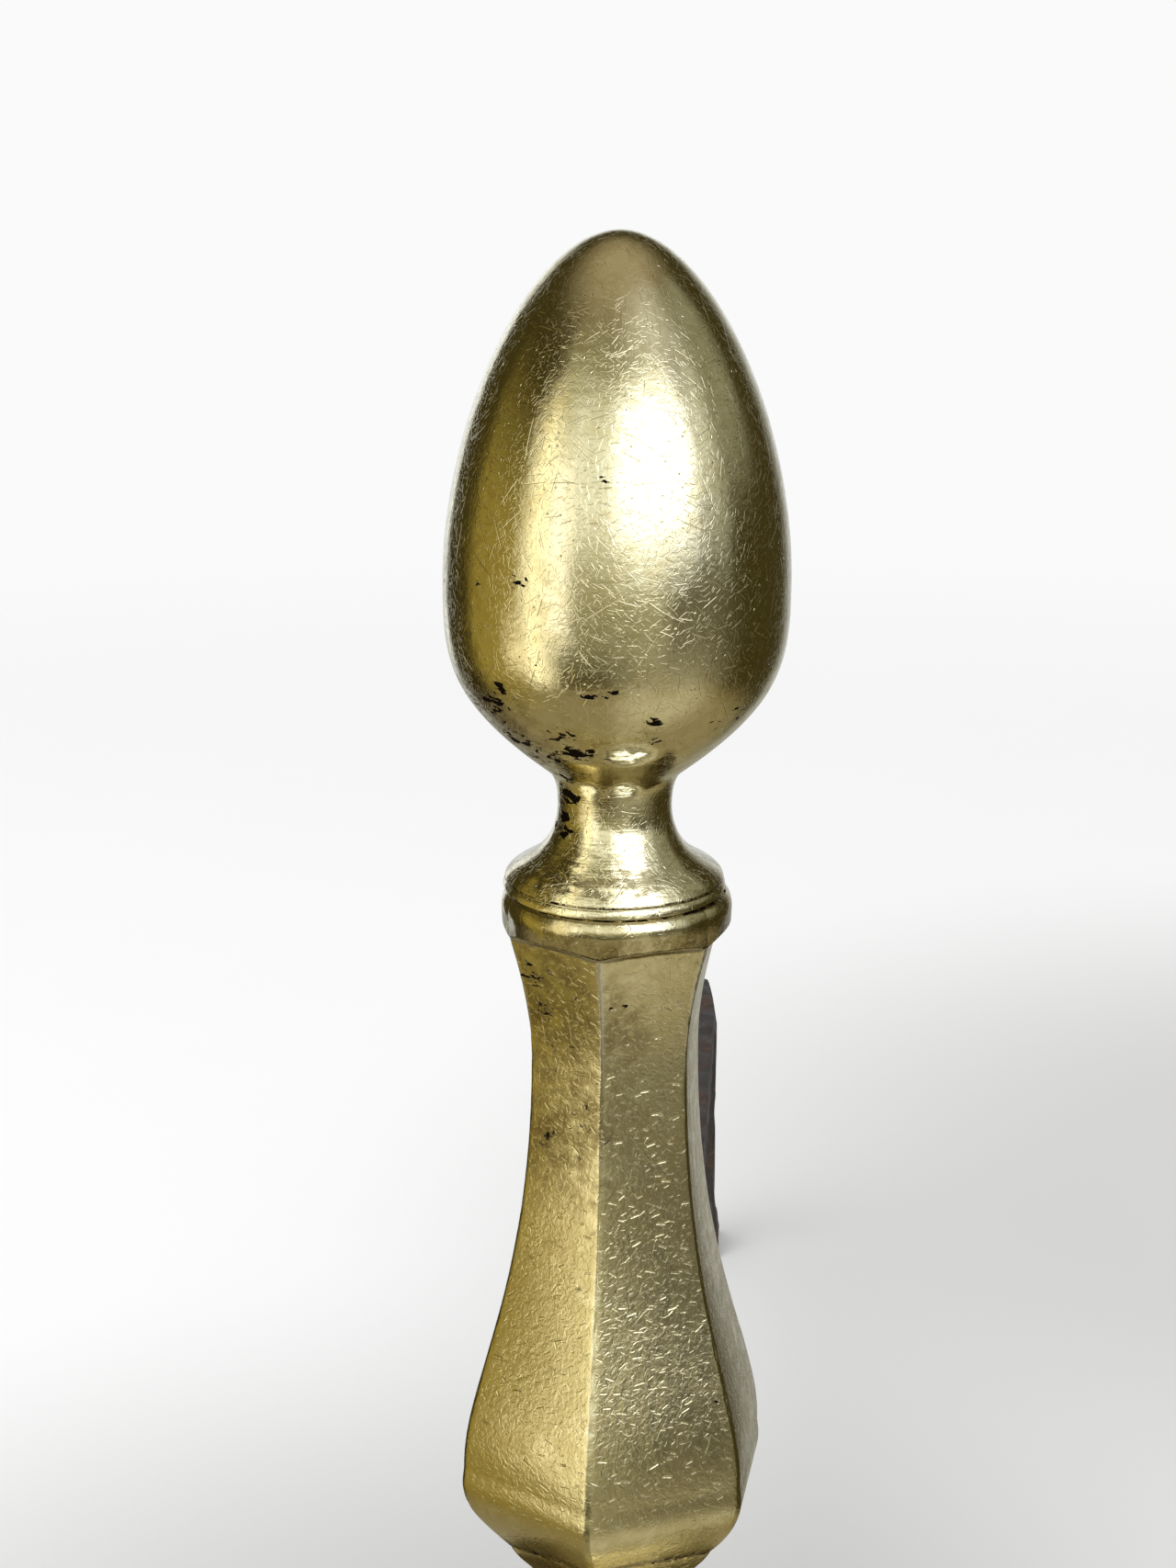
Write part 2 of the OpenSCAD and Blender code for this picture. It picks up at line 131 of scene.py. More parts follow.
class Arrow(Wire):
    """One vector in a node tree. Arithmetic on it adds Vector Math nodes."""

    def math(self, operation: str, *others: "Arrow | tuple", output: str = "Vector") -> Wire:
        """The vector or the number of a Vector Math node that starts from this vector."""
        sockets = dict(enumerate((self, *others)))
        return self.sheet.add("ShaderNodeVectorMath", {"operation": operation}, sockets, output)

    def __add__(self, other: "Arrow | tuple") -> "Arrow":
        """Sum."""
        return self.math("ADD", other)

    def __sub__(self, other: "Arrow | tuple") -> "Arrow":
        """Difference."""
        return self.math("SUBTRACT", other)

    def __mul__(self, scale: "Term | float") -> "Arrow":
        """This vector, longer or shorter."""
        sockets = {"Vector": self, "Scale": scale}
        return self.sheet.add("ShaderNodeVectorMath", {"operation": "SCALE"}, sockets, "Vector")

    def dot(self, other: "Arrow") -> Term:
        """Length of this vector's share along another."""
        return self.math("DOT_PRODUCT", other, output="Value")

    def length(self) -> Term:
        """How long it is."""
        return self.math("LENGTH", output="Value")

    def part(self, axis: str) -> Term:
        """The X, Y or Z part."""
        return self.sheet.add("ShaderNodeSeparateXYZ", {}, {0: self}, axis)


class Sheet:
    """Writes nodes into a tree."""

    def __init__(self, tree: bpy.types.NodeTree) -> None:
        """Starts on an empty tree.

        Args:
            tree: The tree that gets the nodes.
        """
        self.tree = tree
        tree.nodes.clear()

    def add(self, kind: str, settings: dict[str, object] | None = None,
            sockets: dict[str | int, object] | None = None, output: str | int = 0) -> Wire:
        """Adds one node: its settings first, then the values or links of its sockets.

        Args:
            kind: The node's type.
            settings: Its properties.
            sockets: A value or a link for each named or numbered input.
            output: The name or number of the output that is wanted.

        Returns:
            That output, as a number or as a vector.
        """
        node = self.tree.nodes.new(kind)
        for name, value in (settings or {}).items():
            setattr(node, name, value)
        for key, value in (sockets or {}).items():
            socket = self._pick(node.inputs, key)
            if isinstance(value, Wire):
                self.tree.links.new(value.socket, socket)
            elif socket.type == "RGBA" and len(value) == 3:
                socket.default_value = (*value, 1.0)
            else:
                socket.default_value = value
        made = self._pick(node.outputs, output) if len(node.outputs) else None
        vector = made is not None and made.type in ("VECTOR", "RGBA", "ROTATION")
        return Arrow(self, made) if vector else Term(self, made)

    @staticmethod
    def _pick(sockets: object, key: str | int) -> bpy.types.NodeSocket:
        """Finds a socket by its number, or by its name among those in use."""
        if isinstance(key, int):
            return sockets[key]
        return next(s for s in sockets if s.name == key and s.enabled)

    def math(self, operation: str, *values: Term | float) -> Term:
        """A Math node on these values, in order."""
        return self.add("ShaderNodeMath", {"operation": operation}, dict(enumerate(values)))

    def arrow(self, **parts: Term | float) -> Arrow:
        """A vector from its X, Y and Z parts."""
        return self.add("ShaderNodeCombineXYZ", {}, parts)

    def place(self) -> Arrow:
        """The place on the piece, in the piece's own coordinates."""
        return self.add("ShaderNodeTexCoord", {}, {}, "Object")

    def mark(self, name: str) -> Term:
        """A number that the mesh carries."""
        return self.add("ShaderNodeAttribute", {"attribute_name": name}, {}, "Fac")

    def metal(self, sockets: dict[str, object], height: Term, **normal: Arrow) -> None:
        """Ends a metal's tree.

        Args:
            sockets: Inputs of its surface.
            height: Height of its fine relief, in millimetres.
            normal: The shading normal under that relief, where it isn't the mesh's own.
        """
        relief = {"Strength": 1.0, "Distance": MM, "Height": height, **normal}
        sockets["Normal"] = self.add("ShaderNodeBump", {}, relief)
        surface = self.add("ShaderNodeBsdfPrincipled", {}, sockets)
        self.add("ShaderNodeOutputMaterial", {}, {"Surface": surface})

    def fade_out(self, gone: Term, seen: Wire) -> None:
        """Ends a tree with a surface that turns clear.

        Args:
            gone: 1 where it is clear.
            seen: The surface.
        """
        clear = self.add("ShaderNodeBsdfTransparent")
        mixed = self.add("ShaderNodeMixShader", {}, {0: gone, 1: seen, 2: clear})
        self.add("ShaderNodeOutputMaterial", {}, {"Surface": mixed})

    def blend(self, share: Term | float, first: object, second: object, mode: str = "MIX") -> Arrow:
        """The first colour with a share of the second mixed in by the named mode."""
        sockets = {"Factor": share, "A": first, "B": second}
        return self.add("ShaderNodeMix", {"data_type": "RGBA", "blend_type": mode}, sockets, "Result")

    def noise(self, point: Arrow, size: float, detail: float = 2.0, warp: float = 0.0) -> Term:
        """Soft random pattern from 0 to 1, its blobs a size in millimetres wide."""
        sockets = {"Vector": point, "Scale": 1 / (size * MM), "Detail": detail, "Distortion": warp}
        return self.add("ShaderNodeTexNoise", {}, sockets)


def blank_material(name: str) -> tuple[Material, Sheet]:
    """Starts a material.

    Args:
        name: Its name.

    Returns:
        The material and the sheet that writes its nodes.
    """
    made = bpy.data.materials.new(name)
    made.use_nodes = True
    return made, Sheet(made.node_tree)


# ---- brass and iron


@dataclass(frozen=True)
class Strokes:
    """One family of straight scratches, one to a cell of a random mosaic.

    Attributes:
        cell: Distance between neighbouring scratches, in millimetres.
        length: Half the length of the longest, in millimetres.
        width: Half the width, in millimetres.
        share: Share of the cells that have one.
        depth: Slope of their sides.
        seed: Shifts the mosaic to another place.
        level: How far they tend to lie level, from 0 to about 1.
        bow: How much one bends more than another, per metre of its length.
    """

    cell: float
    length: float
    width: float
    share: float
    depth: float
    seed: float
    level: float = 0.0
    bow: float = 40.0

    def cut(self, sheet: Sheet, point: Arrow, normal: Arrow) -> tuple[Term, Arrow]:
        """Draws the scratches.

        Args:
            sheet: The material's tree.
            point: The place on the surface.
            normal: The surface's own normal there.

        Returns:
            Where the scratches are, from 0 to 1, and how far their sides tilt the normal.
        """
        place = point + (self.seed, self.seed / 3, self.seed / 7)
        cells = {"Vector": place, "Scale": 1 / (self.cell * MM), "Randomness": 1.0}
        colour = sheet.add("ShaderNodeTexVoronoi", {}, cells, "Color")
        centre = Arrow(sheet, colour.socket.node.outputs["Position"])
        spread = colour - (0.5, 0.5, 0.5)
        if self.level:
            spread = spread + normal.math("CROSS_PRODUCT", UPWARD) * self.level
        along = (spread - normal * spread.dot(normal)).math("NORMALIZE")
        side = normal.math("CROSS_PRODUCT", along)
        away = place - centre
        drawn = sheet.add("ShaderNodeTexWhiteNoise", {}, {"Vector": centre})
        deep = (1 - drawn / self.share).math("MAXIMUM", 0.0)
        down_line = away.dot(along)
        off_line = (away.dot(side) + down_line * down_line * (drawn - 0.4) * self.bow) / (self.width * MM)
        mask = (abs(off_line).step(1.0, 0.55) * abs(down_line / (self.length * MM)).step(1.0, 0.5)
                * deep.step(0.0, 0.35))
        tilt = side * (mask * off_line * (0.35 + deep) * (-self.depth))
        return mask, tilt


# what the brass reads from the mesh: brown skin and dirt, with painted shade in the crease and on the
# bead's side;
# pits; worn edges, with a painted highlight on the ridge under the bead; keen edges; rings of the lathe;
# how far the wheel has tipped the surface down, and how far a facet is pillowed
MARKS = ("grime", "pitted", "edge", "keen", "spun", "tuck", "swell")


@dataclass(frozen=True)
class OldBrass:
    """Brass that was polished for a hundred years and left to dull.

    Attributes:
        name: The material's name.
        polish: Colour of the bright metal.
        tarnish: Colour where it has dulled.
        patina: Colour of the brown skin where cloths do not reach.
        worn: Colour of worn edges, also used as a painted highlight on the ridge under the bead.
        grime_colour: Colour of the black in pits and corners, and of the painted shade in the crease
            under the bead.
        dull_share: How much of the surface has dulled.
        gloss: Roughness of the bright metal.
        skin: Depth of the uneven skin left by casting and wear.
        skin_size: Width of its dimples in millimetres.
        grain: Depth of the finest dimples.
        pits: Share of the pitted places, from 0 to 1.
        scratches: The families of scratches.
    """

    name: str
    polish: Colour = (0.79, 0.71, 0.42)
    tarnish: Colour = (0.68, 0.585, 0.30)
    patina: Colour = (0.28, 0.22, 0.10)
    worn: Colour = (0.80, 0.75, 0.60)
    grime_colour: Colour = (0.014, 0.009, 0.006)
    dull_share: float = 0.45
    gloss: float = 0.20
    skin: float = 0.05
    skin_size: float = 1.4
    grain: float = 0.006
    pits: float = 0.5
    scratches: tuple[Strokes, ...] = ()

    def material(self) -> Material:
        """Writes the material.

        Returns:
            The material.
        """
        made, sheet = blank_material(self.name)
        point = sheet.place()
        normal = sheet.add("ShaderNodeNewGeometry", {}, {}, "Normal")
        marks = {name: sheet.mark(name) for name in MARKS}

        cloud = sheet.noise(point, 17, 4, 0.6)
        mottle = sheet.noise(point, 3.2, 5, 0.4)
        blotch = mottle + (cloud - 0.5) * 0.6 - 0.5
        dull = (blotch + 0.5 + (self.dull_share - 0.5) * 0.7).step(0.32, 0.68)
        brown = (marks["grime"] + blotch * 0.8 * marks["grime"].step(0.0, 0.25)).step(0.05, 0.62)
        grime = self._grime(sheet, point, marks, cloud)

        line, tilt = self._scratched(sheet, point, normal)
        tilt = (tilt + self._turned(sheet, point, normal) * marks["spun"]) * (1 - marks["keen"] * 0.8)
        metal = sheet.blend(dull, self.polish, self.tarnish)
        metal = sheet.blend(brown * (1 - line * 0.6), metal, self.patina)
        metal = sheet.blend(line * 0.5, metal, self.polish)
        # worn corners are real wear; on the ridge under the bead this pale colour is a painted highlight
        metal = sheet.blend(marks["edge"], metal, self.worn)
        # black of pits and dirt; in the crease under the bead this black is painted shade
        colour = sheet.blend(grime, metal, self.grime_colour)

        rough = self.gloss + dull * 0.06 + (mottle - 0.5) * 0.12 + brown * 0.07
        rough = rough + marks["edge"] * 0.12 - marks["keen"] * 0.12
        rough = rough * (1 - grime) + grime * 0.75

        skin = sheet.noise(point, self.skin_size, 2, 0.8)
        grain = sheet.noise(point, 0.32, 1)
        height = (skin * self.skin + grain * self.grain) * (1 - marks["keen"] * 0.7)
        height = height + marks["edge"] * 0.16 - grime * 0.03
        ripple = sheet.noise(point.math("MULTIPLY", (0.4, 0.4, 1.0)), 1.1, 3)
        lean = marks["tuck"] * ((mottle + ripple) * -1.0)
        around = normal.math("CROSS_PRODUCT", UPWARD)
        leaning = (normal + tilt + sheet.arrow(Z=lean) - around * marks["swell"]).math("NORMALIZE")
        sheet.metal({"Base Color": colour, "Metallic": 1.0, "Roughness": rough}, height, Normal=leaning)
        return made

    def _grime(self, sheet: Sheet, point: Arrow, marks: dict[str, Term], cloud: Term) -> Term:
        """Black pits and streaks, thickest where the piece says that dirt gathers; in the crease under
        the bead the black is painted shade.

        Args:
            sheet: The material's tree.
            point: The place on the surface.
            marks: The mesh's numbers by their names.
            cloud: The broad pattern of the skin.

        Returns:
            Where the black is, from 0 to 1.
        """
        cells = sheet.add("ShaderNodeTexVoronoi", {}, {
            "Vector": point, "Scale": 1 / (1.1 * MM), "Randomness": 1.0}, "Distance")
        patch = sheet.noise(point, 6.5, 3, 1.2)
        speck = sheet.noise(point.math("MULTIPLY", (0.7, 0.7, 1.5)), 1.8, 6, 0.7)
        where = patch * 0.7 + marks["grime"] * 0.40 + (self.pits - 0.5) * 0.3 + (cloud - 0.5) * 0.1
        spots = where.step(0.50, 0.66) * (speck - cells * 0.35).step(0.36, 0.42)
        thick = sheet.math("MAXIMUM", marks["grime"], marks["pitted"])
        packed = (thick * 0.92 + (speck - 0.5) * 2.3).step(0.78, 0.83)
        return sheet.math("MAXIMUM", spots, packed)

    def _turned(self, sheet: Sheet, point: Arrow, normal: Arrow) -> Arrow:
        """Fine rings left by the lathe and the polishing wheel, which draw a reflection out upwards."""
        rings = sheet.noise(point.math("MULTIPLY", (0.06, 0.06, 1.0)), 0.30, 3) - 0.5
        return normal.math("CROSS_PRODUCT", UPWARD).math("CROSS_PRODUCT", normal) * (rings * 1.6)

    def _scratched(self, sheet: Sheet, point: Arrow, normal: Arrow) -> tuple[Term, Arrow]:
        """Draws all families of scratches.

        Args:
            sheet: The material's tree.
            point: The place on the surface.
            normal: The surface's own normal there.

        Returns:
            Where the scratches are, and how they tilt the normal.
        """
        line, tilt = self.scratches[0].cut(sheet, point, normal)
        for strokes in self.scratches[1:]:
            more, lean = strokes.cut(sheet, point, normal)
            line = sheet.math("MAXIMUM", line, more)
            tilt = tilt + lean
        return line, tilt


@dataclass(frozen=True)
class FireIron:
    """Forged iron, blackened by fire and rusting.

    Attributes:
        name: The material's name.
        black: Colour of the scale.
        rust: Colour of the rust.
        rust_share: How much of the surface has rusted.
        scab: Colour of the finest crumbs of rust.
        ash: Colour of the ash that clings to it.
    """

    name: str
    black: Colour = (0.068, 0.061, 0.054)
    rust: Colour = (0.115, 0.062, 0.042)
    rust_share: float = 0.45
    scab: Colour = (0.09, 0.05, 0.035)
    ash: Colour = (0.17, 0.165, 0.16)

    def material(self) -> Material:
        """Writes the material.

        Returns:
            The material.
        """
        made, sheet = blank_material(self.name)
        point = sheet.place()
        cloud = sheet.noise(point, 22, 5, 0.8)
        crust = sheet.noise(point, 2.4, 6, 1.0)
        grain = sheet.noise(point, 0.7, 3, 0.4)
        rusted = (cloud * 0.7 + crust * 0.55 + (self.rust_share - 0.5) * 0.8).step(0.56, 0.78)
        ashy = (crust * 0.8 + grain * 0.4).step(0.66, 0.86) * 0.35
        colour = sheet.blend(rusted, self.black, self.rust)
        colour = sheet.blend(grain * 0.6, colour, self.scab, "OVERLAY")
        colour = sheet.blend(ashy, colour, self.ash)
        rough = 0.42 + rusted * 0.34 + crust * 0.16
        height = crust * 0.16 + grain * 0.05 + rusted * crust * 0.12
        bare = (1 - rusted) * 0.35
        sheet.metal({"Base Color": colour, "Metallic": bare, "Roughness": rough}, height)
        return made


FINE_SCRATCHES = (
    Strokes(0.9, 0.7, 0.08, 0.95, 0.55, 0.11),
    Strokes(1.3, 1.0, 0.08, 0.9, 0.55, 0.23),
    Strokes(2.1, 1.5, 0.10, 0.7, 0.60, 0.37),
    Strokes(3.4, 2.2, 0.11, 0.5, 0.65, 0.53),
    Strokes(7.0, 4.2, 0.13, 0.5, 0.75, 0.71),
    Strokes(2.6, 0.3, 0.20, 0.4, 1.00, 0.83),
)
SHORT_NICKS = (
    Strokes(1.1, 0.5, 0.13, 0.7, 0.36, 0.17),
    Strokes(1.9, 0.7, 0.20, 0.7, 0.42, 0.29, 0.35),
    Strokes(2.8, 0.9, 0.25, 0.6, 0.50, 0.41, 0.6),
    Strokes(4.6, 1.2, 0.28, 0.5, 0.76, 0.59, 0.8),
    Strokes(8.0, 3.5, 0.14, 0.4, 0.50, 0.77),
)


class Finish(Enum):
    """The finishes of the andiron's pieces."""

    FINIAL = OldBrass("finial_polished_brass", skin=0.050, skin_size=2.1, pits=0.50, grain=0.010,
                      dull_share=0.38, gloss=0.11, scratches=FINE_SCRATCHES)
    SHAFT = OldBrass("shaft_worn_brass", skin=0.100, skin_size=1.25, pits=0.40, grain=0.016,
                     dull_share=0.60, gloss=0.19, scratches=SHORT_NICKS)
    PLINTH = OldBrass("plinth_worn_brass", skin=0.06, skin_size=1.5, pits=0.55,
                      dull_share=0.6, gloss=0.24, scratches=SHORT_NICKS)
    LEG = OldBrass("leg_cast_brass", skin=0.09, skin_size=1.8, pits=0.6,
                   dull_share=0.65, gloss=0.25, scratches=SHORT_NICKS[1:])
    BAR = FireIron("bar_forged_iron")
    ROD = FireIron("rod_plain_iron", rust_share=0.35)

    def made(self) -> Material:
        """The finish's material, written once."""
        return bpy.data.materials.get(self.value.name) or self.value.material()


# ---- curves and meshes


def curve(a: Point, b: Point, c: Point, d: Point, steps: int) -> list[Point]:
    """Points of a cubic curve.

    Args:
        a: Its start.
        b: The start's handle.
        c: The end's handle.
        d: Its end.
        steps: How many steps it takes.

    Returns:
        steps + 1 points.
    """
    t = np.linspace(0, 1, steps + 1)[:, None]
    s = 1 - t
    points = s**3 * np.array(a) + 3 * s * s * t * np.array(b) + 3 * s * t * t * np.array(c)
    points = points + t**3 * np.array(d)
    return [tuple(p) for p in points]


def arc(centre: Point, rx: float, ry: float, start: float, end: float, steps: int) -> list[Point]:
    """Points of an arc of radius rx across and ry upwards, between two angles in degrees."""
    angles = np.radians(np.linspace(start, end, steps + 1))
    return [(centre[0] + rx * math.cos(a), centre[1] + ry * math.sin(a)) for a in angles]


def line(a: Point, b: Point, steps: int) -> list[Point]:
    """Points of a straight stretch, with both ends."""
    t = np.linspace(0, 1, steps + 1)[:, None]
    return [tuple(p) for p in np.array(a) * (1 - t) + np.array(b) * t]


def ease(first: float, last: float, share: float | Array) -> float | Array:
    """A smooth step from the first value, at share 0, to the last, at share 1."""
    s = np.clip(share, 0.0, 1.0)
    return first + (last - first) * s * s * (3 - 2 * s)


def link(name: str, data: bpy.types.ID) -> Piece:
    """Puts a mesh, a lamp or a camera into the scene, at the origin.

    Args:
        name: The object's name.
        data: What it shows.

    Returns:
        The object.
    """
    made = bpy.data.objects.new(name, data)
    bpy.context.scene.collection.objects.link(made)
    return made


def plot(name: str, points: list, edges: list, faces: list) -> Piece:
    """Makes an object from numbers.

    Args:
        name: Its name.
        points: The places of its points.
        edges: The pairs of points that are joined.
        faces: The rings of points that have a face.

    Returns:
        The object.
    """
    mesh = bpy.data.meshes.new(name)
    mesh.from_pydata(points, edges, faces)
    return link(name, mesh)


def cast(name: str, work: Clay) -> Piece:
    """Makes an object from a mesh under work.

    Args:
        name: The object's name.
        work: The mesh. It is freed.

    Returns:
        The object.
    """
    mesh = bpy.data.meshes.new(name)
    work.to_mesh(mesh)
    work.free()
    return link(name, mesh)


def points_of(piece: Piece) -> Array:
    """Reads the places of a mesh's points.

    Args:
        piece: The object.

    Returns:
        One row for each point, in metres.
    """
    co = np.empty(len(piece.data.vertices) * 3, np.float32)
    piece.data.vertices.foreach_get("co", co)
    return co.reshape(-1, 3)


def set_points(piece: Piece, points: Array) -> None:
    """Moves a mesh's points."""
    piece.data.vertices.foreach_set("co", points.astype(np.float32).ravel())
    piece.data.update()


def set_mark(piece: Piece, name: str, values: list[float] | Array) -> None:
    """Writes a number on each point of a mesh."""
    marks = piece.data.attributes
    (marks.get(name) or marks.new(name, "FLOAT", "POINT")).data.foreach_set("value", values)


def settle(piece: Piece) -> None:
    """Merges doubles, turns the faces outwards and shades them smooth.

    Args:
        piece: The object whose mesh is finished.
    """
    work = bmesh.new()
    work.from_mesh(piece.data)
    bmesh.ops.remove_doubles(work, verts=work.verts, dist=2e-6)
    bmesh.ops.dissolve_degenerate(work, edges=work.edges, dist=1e-7)
    bmesh.ops.recalc_face_normals(work, faces=work.faces)
    if work.calc_volume(signed=True) < 0:
        bmesh.ops.reverse_faces(work, faces=work.faces)
    work.to_mesh(piece.data)
    work.free()
    piece.data.shade_smooth()


def harden(piece: Piece, name: str) -> Piece:
    """Turns an object with live modifiers into a plain mesh under another name.

    Args:
        piece: The object with its modifiers.
        name: The name of the plain one.

    Returns:
        The plain object. The first one is removed.
    """
    graph = bpy.context.evaluated_depsgraph_get()
    mesh = bpy.data.meshes.new_from_object(piece.evaluated_get(graph))
    mesh.name = name
    bpy.data.objects.remove(piece)
    return link(name, mesh)


def even_skin(blank: Piece, name: str, grain: float, rounding: int) -> Piece:
    """Makes one even skin over an object's solids and rounds its corners.

    Args:
        blank: The object. It is removed.
        name: The result's name.
        grain: Size of the faces in millimetres.
        rounding: How often the skin is smoothed.

    Returns:
        The plain object.
    """
    remesh = blank.modifiers.new("skin", "REMESH")
    remesh.mode = "VOXEL"
    remesh.voxel_size = grain * MM
    smooth = blank.modifiers.new("worn", "SMOOTH")
    smooth.iterations = rounding
    smooth.factor = 0.5
    return harden(blank, name)


def hand_over(piece: Piece, node: str) -> None:
    """Gives a finished piece to the frame.

    Args:
        piece: The finished object.
        node: The CAD node that it stands for.
    """
    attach(piece, BODY)
    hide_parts(node)
    triangles = sum(len(p.vertices) - 2 for p in piece.data.polygons)
    log.info("%s stands for %s: %d triangles", piece.name, node, triangles)


class Pattern(Sheet):
    """A Geometry Nodes tree with named sizes."""

    def __init__(self, name: str) -> None:
        """Starts a tree with one geometry in and one out.

        Args:
            name: The tree's name.
        """
        super().__init__(bpy.data.node_groups.new(name, "GeometryNodeTree"))
        face = self.tree.interface
        face.new_socket("Geometry", in_out="INPUT", socket_type="NodeSocketGeometry")
        face.new_socket("Geometry", in_out="OUTPUT", socket_type="NodeSocketGeometry")
        self.entry = self.tree.nodes.new("NodeGroupInput")
        self.names: dict[str, str] = {}

    def size(self, name: str, value: float | int) -> Term:
        """Adds a named input.

        Args:
            name: The input's name.
            value: What it is unless the piece sets it. A whole number makes a whole-number input.

        Returns:
            The input, for use in expressions.
        """
        kind = "NodeSocketInt" if isinstance(value, int) else "NodeSocketFloat"
        socket = self.tree.interface.new_socket(name, in_out="INPUT", socket_type=kind)
        socket.default_value = value
        self.names[name] = socket.identifier
        return Term(self, next(s for s in self.entry.outputs if s.name == name))

    def attribute(self, name: str) -> Term:
        """Reads one of the piece's own numbers."""
        return self.add("GeometryNodeInputNamedAttribute", {"data_type": "FLOAT"}, {"Name": name})

    def keep(self, shape: Term, name: str, value: Term) -> Term:
        """The shape with a named number on each of its points."""
        sockets = {"Geometry": shape, "Name": name, "Value": value}
        return self.add("GeometryNodeStoreNamedAttribute", {"data_type": "FLOAT"}, sockets)

    def close(self, shape: Term, material: Material | None) -> None:
        """Ends the tree: real instances, then the material.

        Args:
            shape: The geometry.
            material: What it is made of.
        """
        real = self.add("GeometryNodeRealizeInstances", {}, {"Geometry": shape})
        dressed = self.add("GeometryNodeSetMaterial", {}, {"Geometry": real, "Material": material})
        self.add("NodeGroupOutput", {}, {"Geometry": dressed})

    def run(self, base: Piece, name: str, **sizes: float | int) -> Piece:
        """Runs the tree on an object and keeps the result as a plain mesh.

        Args:
            base: The object that goes in. It is removed.
            name: The result's name.
            sizes: Values of named inputs, with underscores for spaces.

        Returns:
            The plain object.
        """
        modifier = base.modifiers.new("pattern", "NODES")
        modifier.node_group = self.tree
        for key, value in sizes.items():
            modifier[self.names[key.replace("_", " ")]] = value
        return harden(base, name)


# ---- turned and faceted pieces


@dataclass
class Station:
    """One level of a turned or faceted form, in millimetres.

    Attributes:
        level: Height above the piece's own zero.
        half: Half the width across the flats, or 0 where it is round.
        turned: Radius of the round form, or 0 where it has facets only.
        crisp: How sharp the corners are, from about 20 for worn to 90 for crisp.
        grime: How much dirt gathers, from 0 to 1; on the bead's side part of it is painted shade.
        limit: The largest radius that is left by the lathe.
        sag: How far this level hangs lower on the left side.
        pinch: How much narrower it is on the left side.
        thread: 1 where a screw thread is cut.
        spun: How strong the rings of the lathe are, from 0 to 1.
        tuck: How far the wheel has rounded it over, so that it shines as if it were steeper.
        shine: How smooth and bright the wheel has left it, from 0 to 1.
        wear: How pale and worn the corners are, from 0 for crisp and bright to 1.
    """

    level: float
    half: float = 0.0
    turned: float = 0.0
    crisp: float = 60.0
    grime: float = 0.0
    limit: float = 1000.0
    sag: float = 0.0
    pinch: float = 0.0
    thread: float = 0.0
    spun: float = 0.0
    tuck: float = 0.0
    shine: float = 0.0
    wear: float = 0.5


def turned(points: list[Point], grime: float = 0.0, spun: float = 0.5) -> list[Station]:
    """Stations of a round form, from points of radius and level."""
    return [Station(level=z, turned=r, grime=grime, spun=spun) for r, z in points]


def polish_over(stations: list[Station], up: float, share: float, low: float, high: float) -> None:
    """Makes a stretch shine as if the wheel had drawn its slopes towards one slope.

    Args:
        stations: The stretch, from the outside inwards.
        up: Tangent of that slope's outlook above the horizon.
        share: How far it goes, from 0 to 1.
        low: Level where it starts.
        high: Level where it ends.
    """
    for station, after in zip(stations, stations[1:]):
        first, second = (min(s.limit, max(s.half, s.turned)) for s in (station, after))
        out, rise = second - first, after.level - station.level
        size = math.hypot(out, rise) or 1.0
        steep = (abs(out) * math.copysign(1, -out * rise) - up * abs(rise)) / size
        fade = min(1.0, max(0.0, (station.level - low) / 0.8), max(0.0, (high - station.level) / 2.0))
        station.tuck = share * steep * max(0.0, fade)


def faceted(points: list[Point], crisp: float, grime: float = 0.0) -> list[Station]:
    """Stations of a faceted form, from points of half width and level."""
    return [Station(level=z, half=a, crisp=crisp, grime=grime) for a, z in points]


def outline_object(stations: list[Station], closed: bool, base_level: float) -> Piece:
    """The stations as a line of points that carry their numbers.

    Args:
        stations: The levels of the form in order.
        closed: Whether the last one joins the first.
        base_level: Height of the piece's own zero, in metres.

    Returns:
        An object that holds the line.
    """
    count = len(stations)
    ends = [(i, (i + 1) % count) for i in range(count if closed else count - 1)]
    levels = [base_level + s.level * MM for s in stations]
    places = [(max(s.half, s.turned) * MM, 0, level) for s, level in zip(stations, levels)]
    outline = plot("outline", places, ends, [])
    set_mark(outline, "level", levels)
    for name in ("half", "turned", "limit", "sag", "pinch"):
        set_mark(outline, name, [getattr(s, name) * MM for s in stations])
    for name in ("crisp", "grime", "thread", "spun", "tuck", "shine", "wear"):
        set_mark(outline, name, [getattr(s, name) for s in stations])
    return outline


